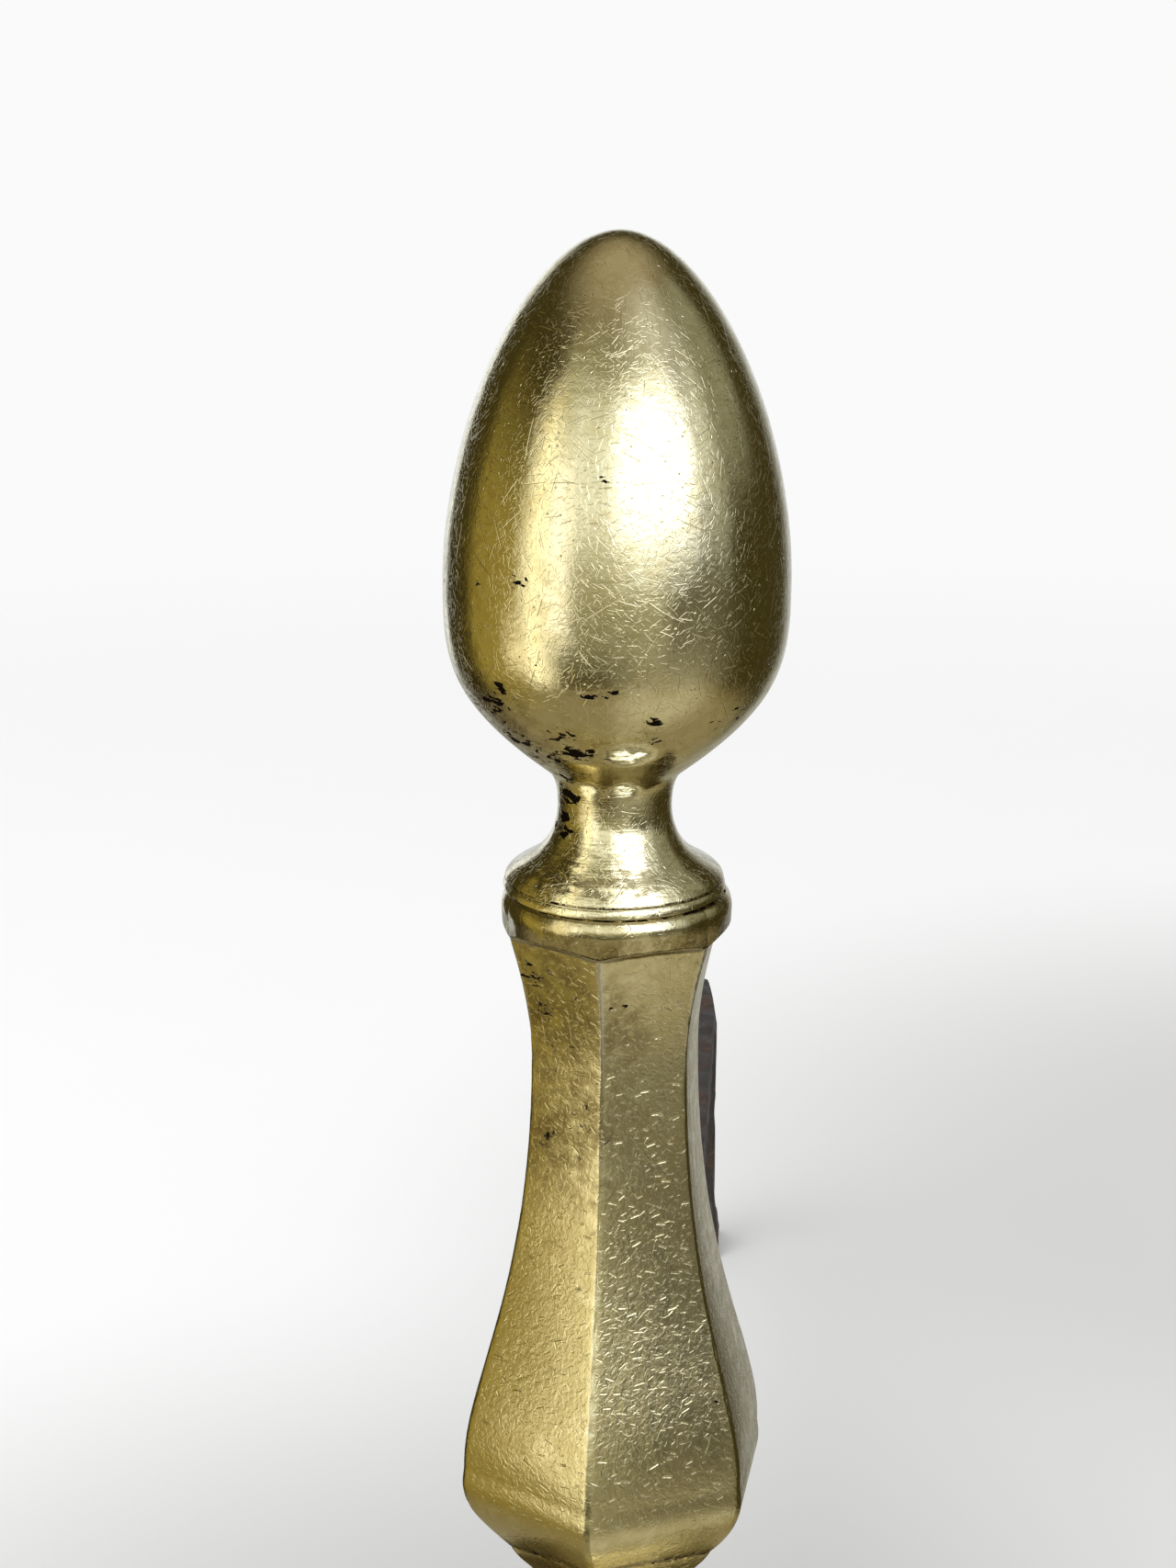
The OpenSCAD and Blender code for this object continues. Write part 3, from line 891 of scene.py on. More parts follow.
class FacetLathe(Pattern):
    """Turns an outline about the column's axis, as a round form, a faceted one or both at once."""

    crowded = 2.2  # how much the points of a faceted form crowd towards its corners

    def __init__(self, material: Material, axis: float) -> None:
        """Writes the tree.

        Args:
            material: What the piece is made of.
            axis: Place of the column's axis along Y, in metres.
        """
        super().__init__("facet lathe")
        self.axis = axis
        outline = Term(self, self.entry.outputs[0])
        steps = self.size("Steps Around", 240)
        sides = self.size("Sides", 6)
        crowding = self.size("Corner Crowding", self.crowded)
        turn = self.size("Turn", 0.0)
        axis_x = self.size("Axis X", 0.0)
        axis_y = self.size("Axis Y", 0.0)
        dent_depth = self.size("Dent Depth", 0.0)
        dent_size = self.size("Dent Size", 0.012)
        chip_depth = self.size("Chip Depth", 0.0)
        lean = self.size("Lean", 0.0)
        lean_from = self.size("Lean From", 0.0)
        crease_width = self.size("Crease Width", 0.0006)
        swelling = self.size("Swelling", 0.0)
        pitch = self.size("Thread Pitch", 0.0016)
        thread_depth = self.size("Thread Depth", 0.0007)

        path = self.add("GeometryNodeCurvePrimitiveCircle", {}, {"Resolution": steps, "Radius": 1.0})
        index = self.add("GeometryNodeInputIndex")
        path = self.keep(path, "step", index * 1.0)
        profile = self.add("GeometryNodeMeshToCurve", {}, {"Mesh": outline})
        skin = self.add("GeometryNodeCurveToMesh", {}, {"Curve": path, "Profile Curve": profile})

        # which facet a point is on, and how far it is from the facet's middle line
        turns = self.attribute("step") / steps * sides
        facet = turns.math("FLOOR")
        u = turns.math("FRACT") * 2 - 1
        shifted = u.math("SIGN") * (1 - (1 - abs(u)) ** crowding)
        sector = 2 * math.pi / sides
        from_middle = shifted * sector / 2
        angle = facet * sector + (shifted + 1) * sector / 2 + (turn + math.pi / 2)

        # radius of the rounded polygon, which the round form fills and the lathe's limit cuts
        left = (angle.math("COSINE") * -1).math("MAXIMUM", 0.0) ** 2
        half = self.attribute("half") - left * self.attribute("pinch")
        level = self.attribute("level") - left * self.attribute("sag")
        crisp = self.attribute("crisp")
        near = from_middle.math("COSINE") ** crisp
        beside = (sector - abs(from_middle)).math("COSINE") ** crisp
        flat_r = half / (near + beside) ** (1 / crisp)
        round_r = self.attribute("turned")
        limit = self.attribute("limit")
        radius = flat_r.math("MAXIMUM", round_r).math("SMOOTH_MIN", limit, crease_width)

        # knocks, worn corners and the screw thread only take metal away; the crease and the ridge are
        # where a facet meets the round form, and their steps are widths in metres; the crease is painted
        # dark as shade, and the ridge is painted pale as a highlight
        cosine, sine = angle.math("COSINE"), angle.math("SINE")
        out = self.arrow(X=radius * cosine, Y=radius * sine, Z=level)
        dents, chips = [self.add("ShaderNodeTexNoise", {}, {"Vector": out, "Scale": scale})
                        for scale in (1 / dent_size, SPECKLE)]
        cornered = (flat_r - round_r).step(0.0, 0.0006) * (limit - flat_r).step(0.0, 0.0006)
        wear = self.attribute("wear")
        edge = abs(shifted).step(0.96 - wear * 0.06, 1.0) * cornered
        crease = (flat_r - limit).step(0.0009, 0.0001) * (flat_r - limit).step(-0.0003, 0.0001)
        ridge_highlight = (limit - flat_r).step(0.0, 0.0003) * (limit - flat_r).step(0.0026, 0.0010)
        helix = (angle / (2 * math.pi) + level / pitch).math("FRACT") * 2 - 1
        cut = dents * dent_depth + edge * chips.step(0.45, 0.8) * chip_depth
        cut = cut * radius.step(0.0, 0.002) + abs(helix) * thread_depth * self.attribute("thread")
        radius = radius - cut
        place = self.arrow(X=radius * cosine + (level - lean_from) * lean + axis_x,
                           Y=radius * sine + axis_y, Z=level)
        # painted highlight: the ridge under the bead gets the pale colour of worn edges; the corners'
        # share is real wear
        skin = self.keep(skin, "edge", (edge * wear).math("MAXIMUM", ridge_highlight * 0.9))
        skin = self.keep(skin, "swell", shifted * swelling)
        skin = self.keep(skin, "keen", (edge * (1 - wear)).math("MAXIMUM", self.attribute("shine")))
        # painted shade: the crease under the bead goes into the dirt mark as a dark line
        skin = self.keep(skin, "grime", self.attribute("grime").math("MAXIMUM", crease * 0.8))
        skin = self.add("GeometryNodeSetPosition", {}, {"Geometry": skin, "Position": place})
        skin = self.add("GeometryNodeMergeByDistance", {}, {"Geometry": skin, "Distance": 2e-6})
        self.close(skin, material)

    def make(self, name: str, stations: list[Station], closed: bool, base_level: float,
             **sizes: float | int) -> Piece:
        """Makes one piece.

        Args:
            name: The piece's name.
            stations: Its outline.
            closed: Whether the outline is a loop, as it is on a ring.
            base_level: Height of the outline's zero, in metres.
            sizes: Values of named inputs.

        Returns:
            The finished object.
        """
        crowding = self.crowded if any(s.half for s in stations) else 1.0
        sizes = {"Corner_Crowding": crowding, "Axis_Y": self.axis, **sizes}
        piece = self.run(outline_object(stations, closed, base_level), name, **sizes)
        settle(piece)
        return piece


@dataclass
class Column:
    """Where the column stands and how tall its pieces are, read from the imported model.

    Attributes:
        axis_y: Place of the axis, in metres.
        seam: Height of the seam between shaft and finial.
        cap: Height of the cap's underside.
        plinth: Height of the plinth's underside.
        plate: Height of the leg plate's underside.
    """

    axis_y: float = field(default_factory=lambda: Column.middle("finial").y)
    seam: float = field(default_factory=lambda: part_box("finial")[0].z)
    cap: float = field(default_factory=lambda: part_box("plinth_cap")[0].z)
    plinth: float = field(default_factory=lambda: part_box("plinth")[0].z)
    plate: float = field(default_factory=lambda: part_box("leg_plate")[0].z)

    @staticmethod
    def middle(node: str) -> Vector:
        """The middle of a CAD node's box."""
        low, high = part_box(node)
        return (low + high) / 2


@dataclass(frozen=True)
class Stain:
    """A nest of pits, or another mark on a piece.

    Attributes:
        angle: Where it is round the column, in degrees from the front to the right.
        level: Its height above the seam, in millimetres.
        size: Half its height in millimetres.
        strength: How much dirt it holds, from 0 to 1.
        wide: How much wider it is than it is high.
    """

    angle: float
    level: float
    size: float
    strength: float
    wide: float = 1.0


def stray_stains(seed: int, count: int, levels: Point) -> tuple[Stain, ...]:
    """Random stains over the sides and the back, of the kind that the front has.

    Args:
        seed: Seed of the random places.
        count: How many there are.
        levels: The lowest and the highest level.

    Returns:
        The stains.
    """
    dice = np.random.default_rng(seed)
    low, high = levels
    made = []
    for _ in range(count):
        level = low + (high - low) * dice.random() ** 1.6
        made.append(Stain(float(dice.uniform(75, 285)), float(level), float(dice.uniform(1.2, 3.2)),
                          float(dice.uniform(0.75, 1.0))))
    return tuple(made)


def soil(piece: Piece, column: Column, stains: tuple[Stain, ...],
         name: str = "grime", sign: float = 1.0) -> None:
    """Adds stains to one of a piece's attributes.

    Args:
        piece: The piece.
        column: Where the column stands.
        stains: The stains.
        name: The attribute, as a rule the piece's dirt, which in places also carries painted shade.
        sign: 1 where the stains raise it, -1 where they lower it.
    """
    points = points_of(piece)
    x, y = points[:, 0] / MM, (points[:, 1] - column.axis_y) / MM
    level = (points[:, 2] - column.seam) / MM
    angle, radius = np.degrees(np.arctan2(x, -y)), np.hypot(x, y)
    values = np.zeros(len(points), np.float32)
    if name in piece.data.attributes:
        piece.data.attributes[name].data.foreach_get("value", values)
    for stain in stains:
        off = (angle - stain.angle + 180) % 360 - 180
        away = np.hypot(np.radians(off) * radius / stain.wide, level - stain.level) / stain.size
        added = ease(0.0, stain.strength, 1.2 * (1 - away))
        values = np.where(away < 1, sign * np.maximum(sign * values, added), values)
    set_mark(piece, name, values)


@dataclass
class Finial:
    """Egg on a turned neck and flange, with the rod's socket in its foot.

    Attributes:
        height: Height above the seam.
        egg_r: Radius of the egg at its widest.
        egg_mid: Height of that place.
        egg_foot_r: Radius where the egg meets the neck.
        egg_foot: Height of that place.
        neck_r: Radius of the neck at its narrowest.
        neck_up: Height of that place.
        flange_r: Radius of the flange.
        lip: Height of the rounded lip round the flange.
        socket_r: Radius of the socket for the rod.
        socket_up: Depth of that socket.
        lean: Angle by which it leans to the right, in degrees.
        lifts: Places under the egg that a slip of the wheel has turned upwards.
        stains: Three brown veils, then its nests of pits.
    """

    height: float = 121.6
    egg_r: float = 31.65
    egg_mid: float = 58.0
    egg_foot_r: float = 12.5
    egg_foot: float = 23.3
    neck_r: float = 10.6
    neck_up: float = 16.3
    flange_r: float = 20.7
    lip: float = 2.2
    socket_r: float = 4.85
    socket_up: float = 33.0
    lean: float = 0.25
    lifts: tuple[Stain, ...] = (
        Stain(-13, 31.0, 3.4, 0.60, 1.6), Stain(9, 31.4, 4.2, 0.86, 1.9),
        Stain(-22, 22.4, 3.2, 0.55, 1.2), Stain(11, 22.6, 3.4, 0.70, 1.3),
    )
    stains: tuple[Stain, ...] = (
        Stain(-54, 36, 19.0, 0.50), Stain(-66, 58, 15.0, 0.25), Stain(-60, 16, 9.0, 0.40),
        Stain(-30, 64, 3.0, 0.9, 1.3), Stain(-22, 50, 2.3, 0.7, 1.5), Stain(-38, 44, 3.4, 0.8, 1.5),
        Stain(-46, 40, 4.4, 0.92, 1.7), Stain(-6, 45, 3.0, 0.8, 1.5), Stain(2, 45, 2.2, 0.8, 1.5),
        Stain(-19, 36, 4.0, 0.92, 1.6), Stain(-13, 32, 4.2, 0.92, 1.8), Stain(-16, 34, 3.9, 0.8, 1.5),
        Stain(16, 39, 3.2, 0.95, 1.4), Stain(20, 35, 2.2, 0.8, 1.5), Stain(44, 37, 3.2, 0.7, 1.5),
        Stain(-49, 62, 3.2, 0.7, 1.5), Stain(-55, 51, 4.4, 0.7, 1.5), Stain(-37, 82, 2.4, 0.75, 1.3),
        Stain(-43, 33, 4.8, 0.92, 1.8), Stain(-31, 30, 5.1, 0.8, 1.5), Stain(-1, 30, 3.0, 0.7, 1.5),
        Stain(56, 38, 4.0, 0.80, 1.5), Stain(6, 56, 1.4, 0.7, 1.5), Stain(0, 83, 2.4, 0.70, 1.3),
        Stain(-52, 20, 5.0, 0.95, 1.0), Stain(-44, 19, 3.2, 0.8, 1.5), Stain(-70, 13, 4.4, 0.7, 1.5),
        Stain(-56, 14, 5.6, 0.95, 1.0), Stain(-39, 24, 3.6, 0.8, 1.5),
    )

    def outline(self) -> list[Station]:
        """The outline, from the blind end of the socket round to the top of the egg.

        Returns:
            Stations that start and end on the axis.
        """
        lip_r = self.lip / 2
        rise = self.height - self.egg_mid
        drop = self.egg_mid - self.egg_foot
        socket = turned([(0.0, self.socket_up), (self.socket_r, self.socket_up),
                         (self.socket_r, 0.0)], 0.6)
        under = turned(line((self.socket_r + 0.4, 0.0), (self.flange_r - lip_r - 0.2, 0.0), 3), 0.8)
        rim = turned(arc((self.flange_r - lip_r, lip_r), lip_r, lip_r, -90, 60, 18), 0.05, 0.25)
        rim[0].grime = rim[1].grime = rim[2].grime = 0.9
        bell_r = self.flange_r - 0.3
        bell_rise = self.neck_up - self.lip
        side, up = self.neck_r + 6, self.lip + 0.255 * bell_rise
        bell = turned(curve((bell_r, self.lip + 0.05), (bell_r, self.lip + 0.11 * bell_rise),
                            (side + 1.8, up - 0.075 * bell_rise), (side, up), 24), 0.04, 0.25)
        cove = turned(curve((side, up), (side - 2.4, up + 0.092 * bell_rise),
                            (self.neck_r + 0.02, up + 0.312 * bell_rise),
                            (self.neck_r, self.neck_up), 40)[1:], 0.04, 0.3)
        flange = bell + cove
        for station in flange[:3]:
            station.grime = 0.6
        polish_over(flange, 0.42, 0.82, self.lip + 0.2, self.neck_up - 2.0)
        polish_over(rim, 0.38, 0.6, -1.0, 9.0)
        neck = turned(curve((self.neck_r, self.neck_up + 0.2), (self.neck_r, self.neck_up + 3),
                            (self.egg_foot_r - 1.5, self.egg_foot - 1.7),
                            (self.egg_foot_r - 0.1, self.egg_foot - 0.25), 18), 0.10, 0.3)
        width = self.egg_r - self.egg_foot_r
        under_egg = turned(curve((self.egg_foot_r + 0.25, self.egg_foot + 0.06),
                                 (self.egg_foot_r + 0.95 * width, self.egg_foot + 0.4 * drop),
                                 (self.egg_r, self.egg_mid - 0.41 * drop),
                                 (self.egg_r, self.egg_mid), 64), 0.0, 0.07)
        for station in under_egg:
            share = (station.level - self.egg_foot) / drop
            station.grime = 0.16 * max(0.0, 1 - share / 0.62)
        over_egg = turned(curve((self.egg_r, self.egg_mid),
                                (self.egg_r, self.egg_mid + 0.485 * rise),
                                (0.49 * self.egg_r, self.height),
                                (0.0, self.height), 96)[1:], 0.0, 0.05)
        return socket + under + rim + flange + neck + under_egg + over_egg

    def make(self, column: Column) -> Piece:
        """Makes the finial.

        Args:
            column: Where the column stands.

        Returns:
            The finished object.
        """
        lathe = FacetLathe(Finish.FINIAL.made(), column.axis_y)
        piece = lathe.make("egg_finial", self.outline(), False, column.seam, Steps_Around=256,
                           Lean=math.radians(self.lean), Lean_From=column.seam,
                           Dent_Depth=0.00012, Dent_Size=0.011)
        soil(piece, column, self.stains[:3])
        soil(piece, column, self.stains[3:] + stray_stains(11, 26, (24.0, 66.0)), "pitted")
        soil(piece, column, self.lifts, "tuck", -1.0)
        return piece


@dataclass
class Shaft:
    """Faceted baluster shaft whose six faces flare out into a round bead.

    Heights are negative, because the shaft hangs from the seam.

    Attributes:
        bead_r: Radius of the bead.
        bead_h: Height of the bead at the corners.
        bead_round: Height of the rounding along its top.
        throat: Half width of the facets where they start to flare out into the bead.
        waist: Half width at the waist.
        waist_down: Depth of the waist below the seam.
        belly: Half width at the belly.
        belly_down: Depth of the belly.
        heel: Half width at the heel.
        heel_down: Depth of the heel.
        step: Step inwards under the heel.
        low_neck: Half width of the neck under the heel.
        low_neck_down: Depth of that neck.
        foot: Half width of the foot.
        foot_down: Depth of the foot's upper edge.
        height: Height of the whole shaft.
        bore_r: Radius of the bore for the rod.
        turn: Angle by which the loose shaft is turned, in degrees.
        lean: Angle by which it leans to the right, in degrees.
        heel_sag: How much lower the heel ends on the left side.
        heel_pinch: How much further the facets draw in there.
        stains: Three brown veils, then its nests of pits.
    """

    bead_r: float = 21.5
    bead_h: float = 7.6
    bead_round: float = 3.1
    throat: float = 18.5
    waist: float = 14.7
    waist_down: float = 31.5
    belly: float = 26.8
    belly_down: float = 113.5
    heel: float = 21.5
    heel_down: float = 128.9
    step: float = 0.4
    low_neck: float = 12.2
    low_neck_down: float = 143.0
    foot: float = 20.6
    foot_down: float = 150.0
    height: float = 152.5
    bore_r: float = 5.75
    turn: float = -5.7
    lean: float = 0.1
    heel_sag: float = 3.9
    heel_pinch: float = 3.2
    stains: tuple[Stain, ...] = (
        Stain(-38, -22, 26.0, 0.44), Stain(-34, -42, 27.0, 0.42), Stain(24, -60, 26.0, 0.16),
        Stain(-57, -15, 7.0, 0.80, 1.3), Stain(-45, -22, 6.0, 0.62), Stain(51, -96, 1.5, 0.9),
        Stain(-30, -14, 8.0, 0.56, 1.6), Stain(12, -19, 8.0, 0.52, 1.6), Stain(-20, -38, 9.0, 0.50),
    )

    def bead(self) -> list[Station]:
        """The bead: the facets flare out past it, and the lathe has cut them round.

        Returns:
            Stations from its top down.
        """
        flare, depth, top_r = self.bead_r + 0.5, 1.5, self.bead_r - 1.5
        rounding = arc((top_r, -self.bead_round), depth, self.bead_round, 90, 0, 26)
        side = line((flare, -self.bead_round), (flare, -0.74 * self.bead_h), 12)[1:]
        cove = curve((flare, -0.74 * self.bead_h), (flare - 1.6, -0.82 * self.bead_h),
                     (self.throat + 0.4, -0.92 * self.bead_h),
                     (self.throat + 0.1, -0.985 * self.bead_h), 26)[1:]
        made = [Station(level, flare, crisp=40.0, grime=0.15, limit=radius, shine=0.5)
                for radius, level in rounding]
        polish_over(made, 0.40, 0.6, -99.0, 9.0)
        made[-1].tuck = made[-2].tuck
        made[0].half = top_r
        for station in made[:5]:
            station.grime = 0.85
        # painted shade in part: the side's brown skin is made heavier to darken the bead below its
        # rounding
        for half, level in side + cove:
            limit = self.bead_r + 0.04 * (level + self.bead_round)
            made.append(Station(level, half, crisp=40.0, grime=0.30, limit=limit, shine=0.55))
        for station in made:
            below = -station.level - 0.6 * self.bead_round
            least = 0.5 * min(1.0, below / self.bead_round)
            station.tuck = max(min(station.tuck, 0.1), least)
        return made

    def facets(self) -> list[Station]:
        """The facets.

        Returns:
            Stations from the bead down to the foot.
        """
        waist_drop = self.waist_down - self.bead_h
        belly_drop = self.belly_down - self.waist_down
        heel_drop = self.heel_down - self.belly_down
        neck_drop = self.low_neck_down - self.heel_down
        foot_drop = self.foot_down - self.low_neck_down
        upper = curve((self.throat, -self.bead_h - 0.3),
                      (self.throat - 0.6, -self.bead_h - 0.11 * waist_drop),
                      (self.waist, -self.waist_down + 0.45 * waist_drop),
                      (self.waist, -self.waist_down), 50)
        long_side = curve((self.waist, -self.waist_down),
                          (self.waist, -self.waist_down - 0.575 * belly_drop),
                          (self.belly, -self.belly_down + 0.213 * belly_drop),
                          (self.belly, -self.belly_down), 80)[1:]
        turn_in = curve((self.belly, -self.belly_down),
                        (self.belly, -self.belly_down - 0.18 * heel_drop),
                        (self.belly + 2.1, -self.heel_down + 0.59 * heel_drop),
                        (self.heel, -self.heel_down), 40)[1:]
        under = curve((self.heel - self.step, -self.heel_down - self.step),
                      (self.heel - self.step - 1.9, -self.heel_down - 0.35 * neck_drop),
                      (self.low_neck, -self.low_neck_down + 0.26 * neck_drop),
                      (self.low_neck, -self.low_neck_down), 26)
        flare = curve((self.low_neck, -self.low_neck_down),
                      (self.low_neck, -self.low_neck_down - 0.64 * foot_drop),
                      (self.low_neck + 4, -self.foot_down + 0.06 * foot_drop),
                      (self.foot - 0.6, -self.foot_down), 20)[1:]
        edge = [(self.foot - 0.15, -self.foot_down - 0.2), (self.foot, -self.foot_down - 0.6),
                (self.foot, -self.height + 0.4), (self.foot - 0.4, -self.height)]
        stations = []
        for half, level in upper + long_side + turn_in + under + flare + edge:
            slip = self._slip(level)
            wear = min(1.0, max(0.1, 1 + (level + self.bead_h + 8) / 26))
            stations.append(Station(level, half, crisp=self._crispness(level), wear=wear,
                                    grime=self._darkening(level), sag=slip * self.heel_sag,
                                    pinch=slip * self.heel_pinch))
        return stations

    def _slip(self, level: float) -> float:
        """Share by which the uneven heel moves this level: 1 at the heel, 0 away from it."""
        under, neck = -level - self.heel_down, self.low_neck_down - self.heel_down
        return max(0.0, 1 + under / 6.0) ** 2 if under < 0 else max(0.0, 1 - under / neck)

    def _crispness(self, level: float) -> float:
        """Corners are worn soft under the bead and crisp from the waist down."""
        worn = max(0.0, 1 - (-level - self.bead_h) / 14)
        return 85 - 45 * worn

    def _darkening(self, level: float) -> float:
        """Darker under the bead, along the crease at the heel and in the neck below the heel.

        Args:
            level: The level.

        Returns:
            How dark, from 0 to 1.
        """
        under_bead = max(0.0, 1 + (level + self.bead_h) / 30) * 0.08
        under_heel = 0.30 if level < -self.heel_down + 0.3 else 0.0
        crease = max(0.0, 1 - abs(level + self.heel_down) / 1.8) * 0.75
        return max(under_bead, under_heel, crease, 0.06)

    def make(self, column: Column) -> Piece:
        """Makes the shaft.

        Args:
            column: Where the column stands.

        Returns:
            The finished object.
        """
        bore = turned([(self.bore_r, -self.height), (self.bore_r, 0.0)], 0.9)
        stations = self.bead() + self.facets() + bore
        low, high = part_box("shaft")
        lathe = FacetLathe(Finish.SHAFT.made(), column.axis_y)
        piece = lathe.make("baluster_shaft", stations, True, column.seam, Steps_Around=6 * 28,
                           Turn=math.radians(self.turn), Axis_X=(low.x + high.x) / 2,
                           Lean=math.radians(self.lean), Lean_From=column.seam,
                           Dent_Depth=0.00014, Dent_Size=0.009, Chip_Depth=0.00022, Swelling=0.10)
        soil(piece, column, self.stains[:3])
        soil(piece, column, self.stains[3:] + stray_stains(5, 16, (-130.0, -12.0)), "pitted")
        return piece


@dataclass
class Plinth:
    """Moulded cap, hollow six-sided plinth and moulded leg plate.

    Attributes:
        cap_h: Height of the cap.
        cap: Half width of the cap.
        cap_top: Half width of its flat top.
        height: Height of the plinth.
        side: Half width of the plinth.
        wall: Thickness of its sides.
        plate_h: Height of the plate.
        plate: Half width of the plate.
        bore_r: Radius of the bores for the rod.
        crisp: Sharpness of the corners.
    """

    cap_h: float = 8.0
    cap: float = 28.4
    cap_top: float = 22.5
    height: float = 22.0
    side: float = 24.5
    wall: float = 2.6
    plate_h: float = 8.0
    plate: float = 30.0
    bore_r: float = 5.75
    crisp: float = 75.0

    def cap_outline(self) -> list[Station]:
        """The cap: sloping top, upright edge and a hollow moulding under it.

        Returns:
            Its stations.
        """
        low, high = 0.35 * self.cap_h, 0.65 * self.cap_h
        top = line((self.cap_top, self.cap_h), (self.cap - 0.9, high + 0.9), 12)
        nose = arc((self.cap - 0.8, high), 0.8, 0.8, 80, 0, 6)
        chin = arc((self.cap - 0.5, low + 0.5), 0.5, 0.5, 0, -90, 4)
        hollow = curve((self.cap - 1, low - 0.1), (self.cap - 1.6, 0.4 * low), (self.side + 1.2, 0.6),
                       (self.side + 0.4, 0.0), 18)
        grimy = faceted(hollow, self.crisp, 0.55)
        return faceted(top + nose + chin, self.crisp, 0.12) + grimy + self._bore(self.cap_h)

    def _bore(self, height: float) -> list[Station]:
        """The bore for the rod."""
        return turned([(self.bore_r, 0.0), (self.bore_r, height)], 0.9)

    def side_outline(self) -> list[Station]:
        """The plain sides, open inside.

        Returns:
            Their stations.
        """
        inner = self.side - self.wall
        outside = faceted(line((self.side, self.height), (self.side, 0.0), 60), self.crisp, 0.1)
        for station in outside:
            from_end = min(station.level, self.height - station.level)
            station.grime = 0.1 + 0.5 * max(0.0, 1 - from_end / 2.2)
        inside = faceted([(inner, 0.0), (inner, self.height)], self.crisp, 0.9)
        return outside + inside

    def plate_outline(self) -> list[Station]:
        """The plate: a quarter round over an upright edge.

        Returns:
            Its stations.
        """
        seat = self.side + 1.2
        half_up = 0.5 * self.plate_h
        ovolo_w, ovolo_h = self.plate - 1.4 - seat, self.plate_h - half_up - 1.2
        outside = arc((seat, half_up + 0.6), ovolo_w, ovolo_h, 90, 0, 16)
        outside.append((self.plate - 1.3, half_up + 0.05))
        outside += arc((self.plate - 0.5, half_up - 0.45), 0.5, 0.5, 90, 0, 5)
        outside += line((self.plate, half_up - 0.6), (self.plate, 0.3), 8)
        outside.append((self.plate - 0.3, 0.0))
        seat_line = faceted([(seat, self.plate_h)], self.crisp, 0.8)
        return seat_line + faceted(outside, self.crisp, 0.15) + self._bore(self.plate_h)

    def make(self, column: Column) -> dict[str, Piece]:
        """Makes the three pieces.

        Args:
            column: Where the column stands.

        Returns:
            The objects by the names of the CAD nodes that they stand for.
        """
        lathe = FacetLathe(Finish.PLINTH.made(), column.axis_y)
        forms = {
            "plinth_cap": ("plinth_cap_moulding", self.cap_outline(), column.cap),
            "plinth": ("plinth_sides", self.side_outline(), column.plinth),
            "leg_plate": ("leg_plate_moulding", self.plate_outline(), column.plate),
        }
        return {node: lathe.make(name, stations, True, level, Steps_Around=6 * 26, Dent_Depth=0.00012,
                                 Dent_Size=0.008, Chip_Depth=0.00025)
                for node, (name, stations, level) in forms.items()}


# ---- legs


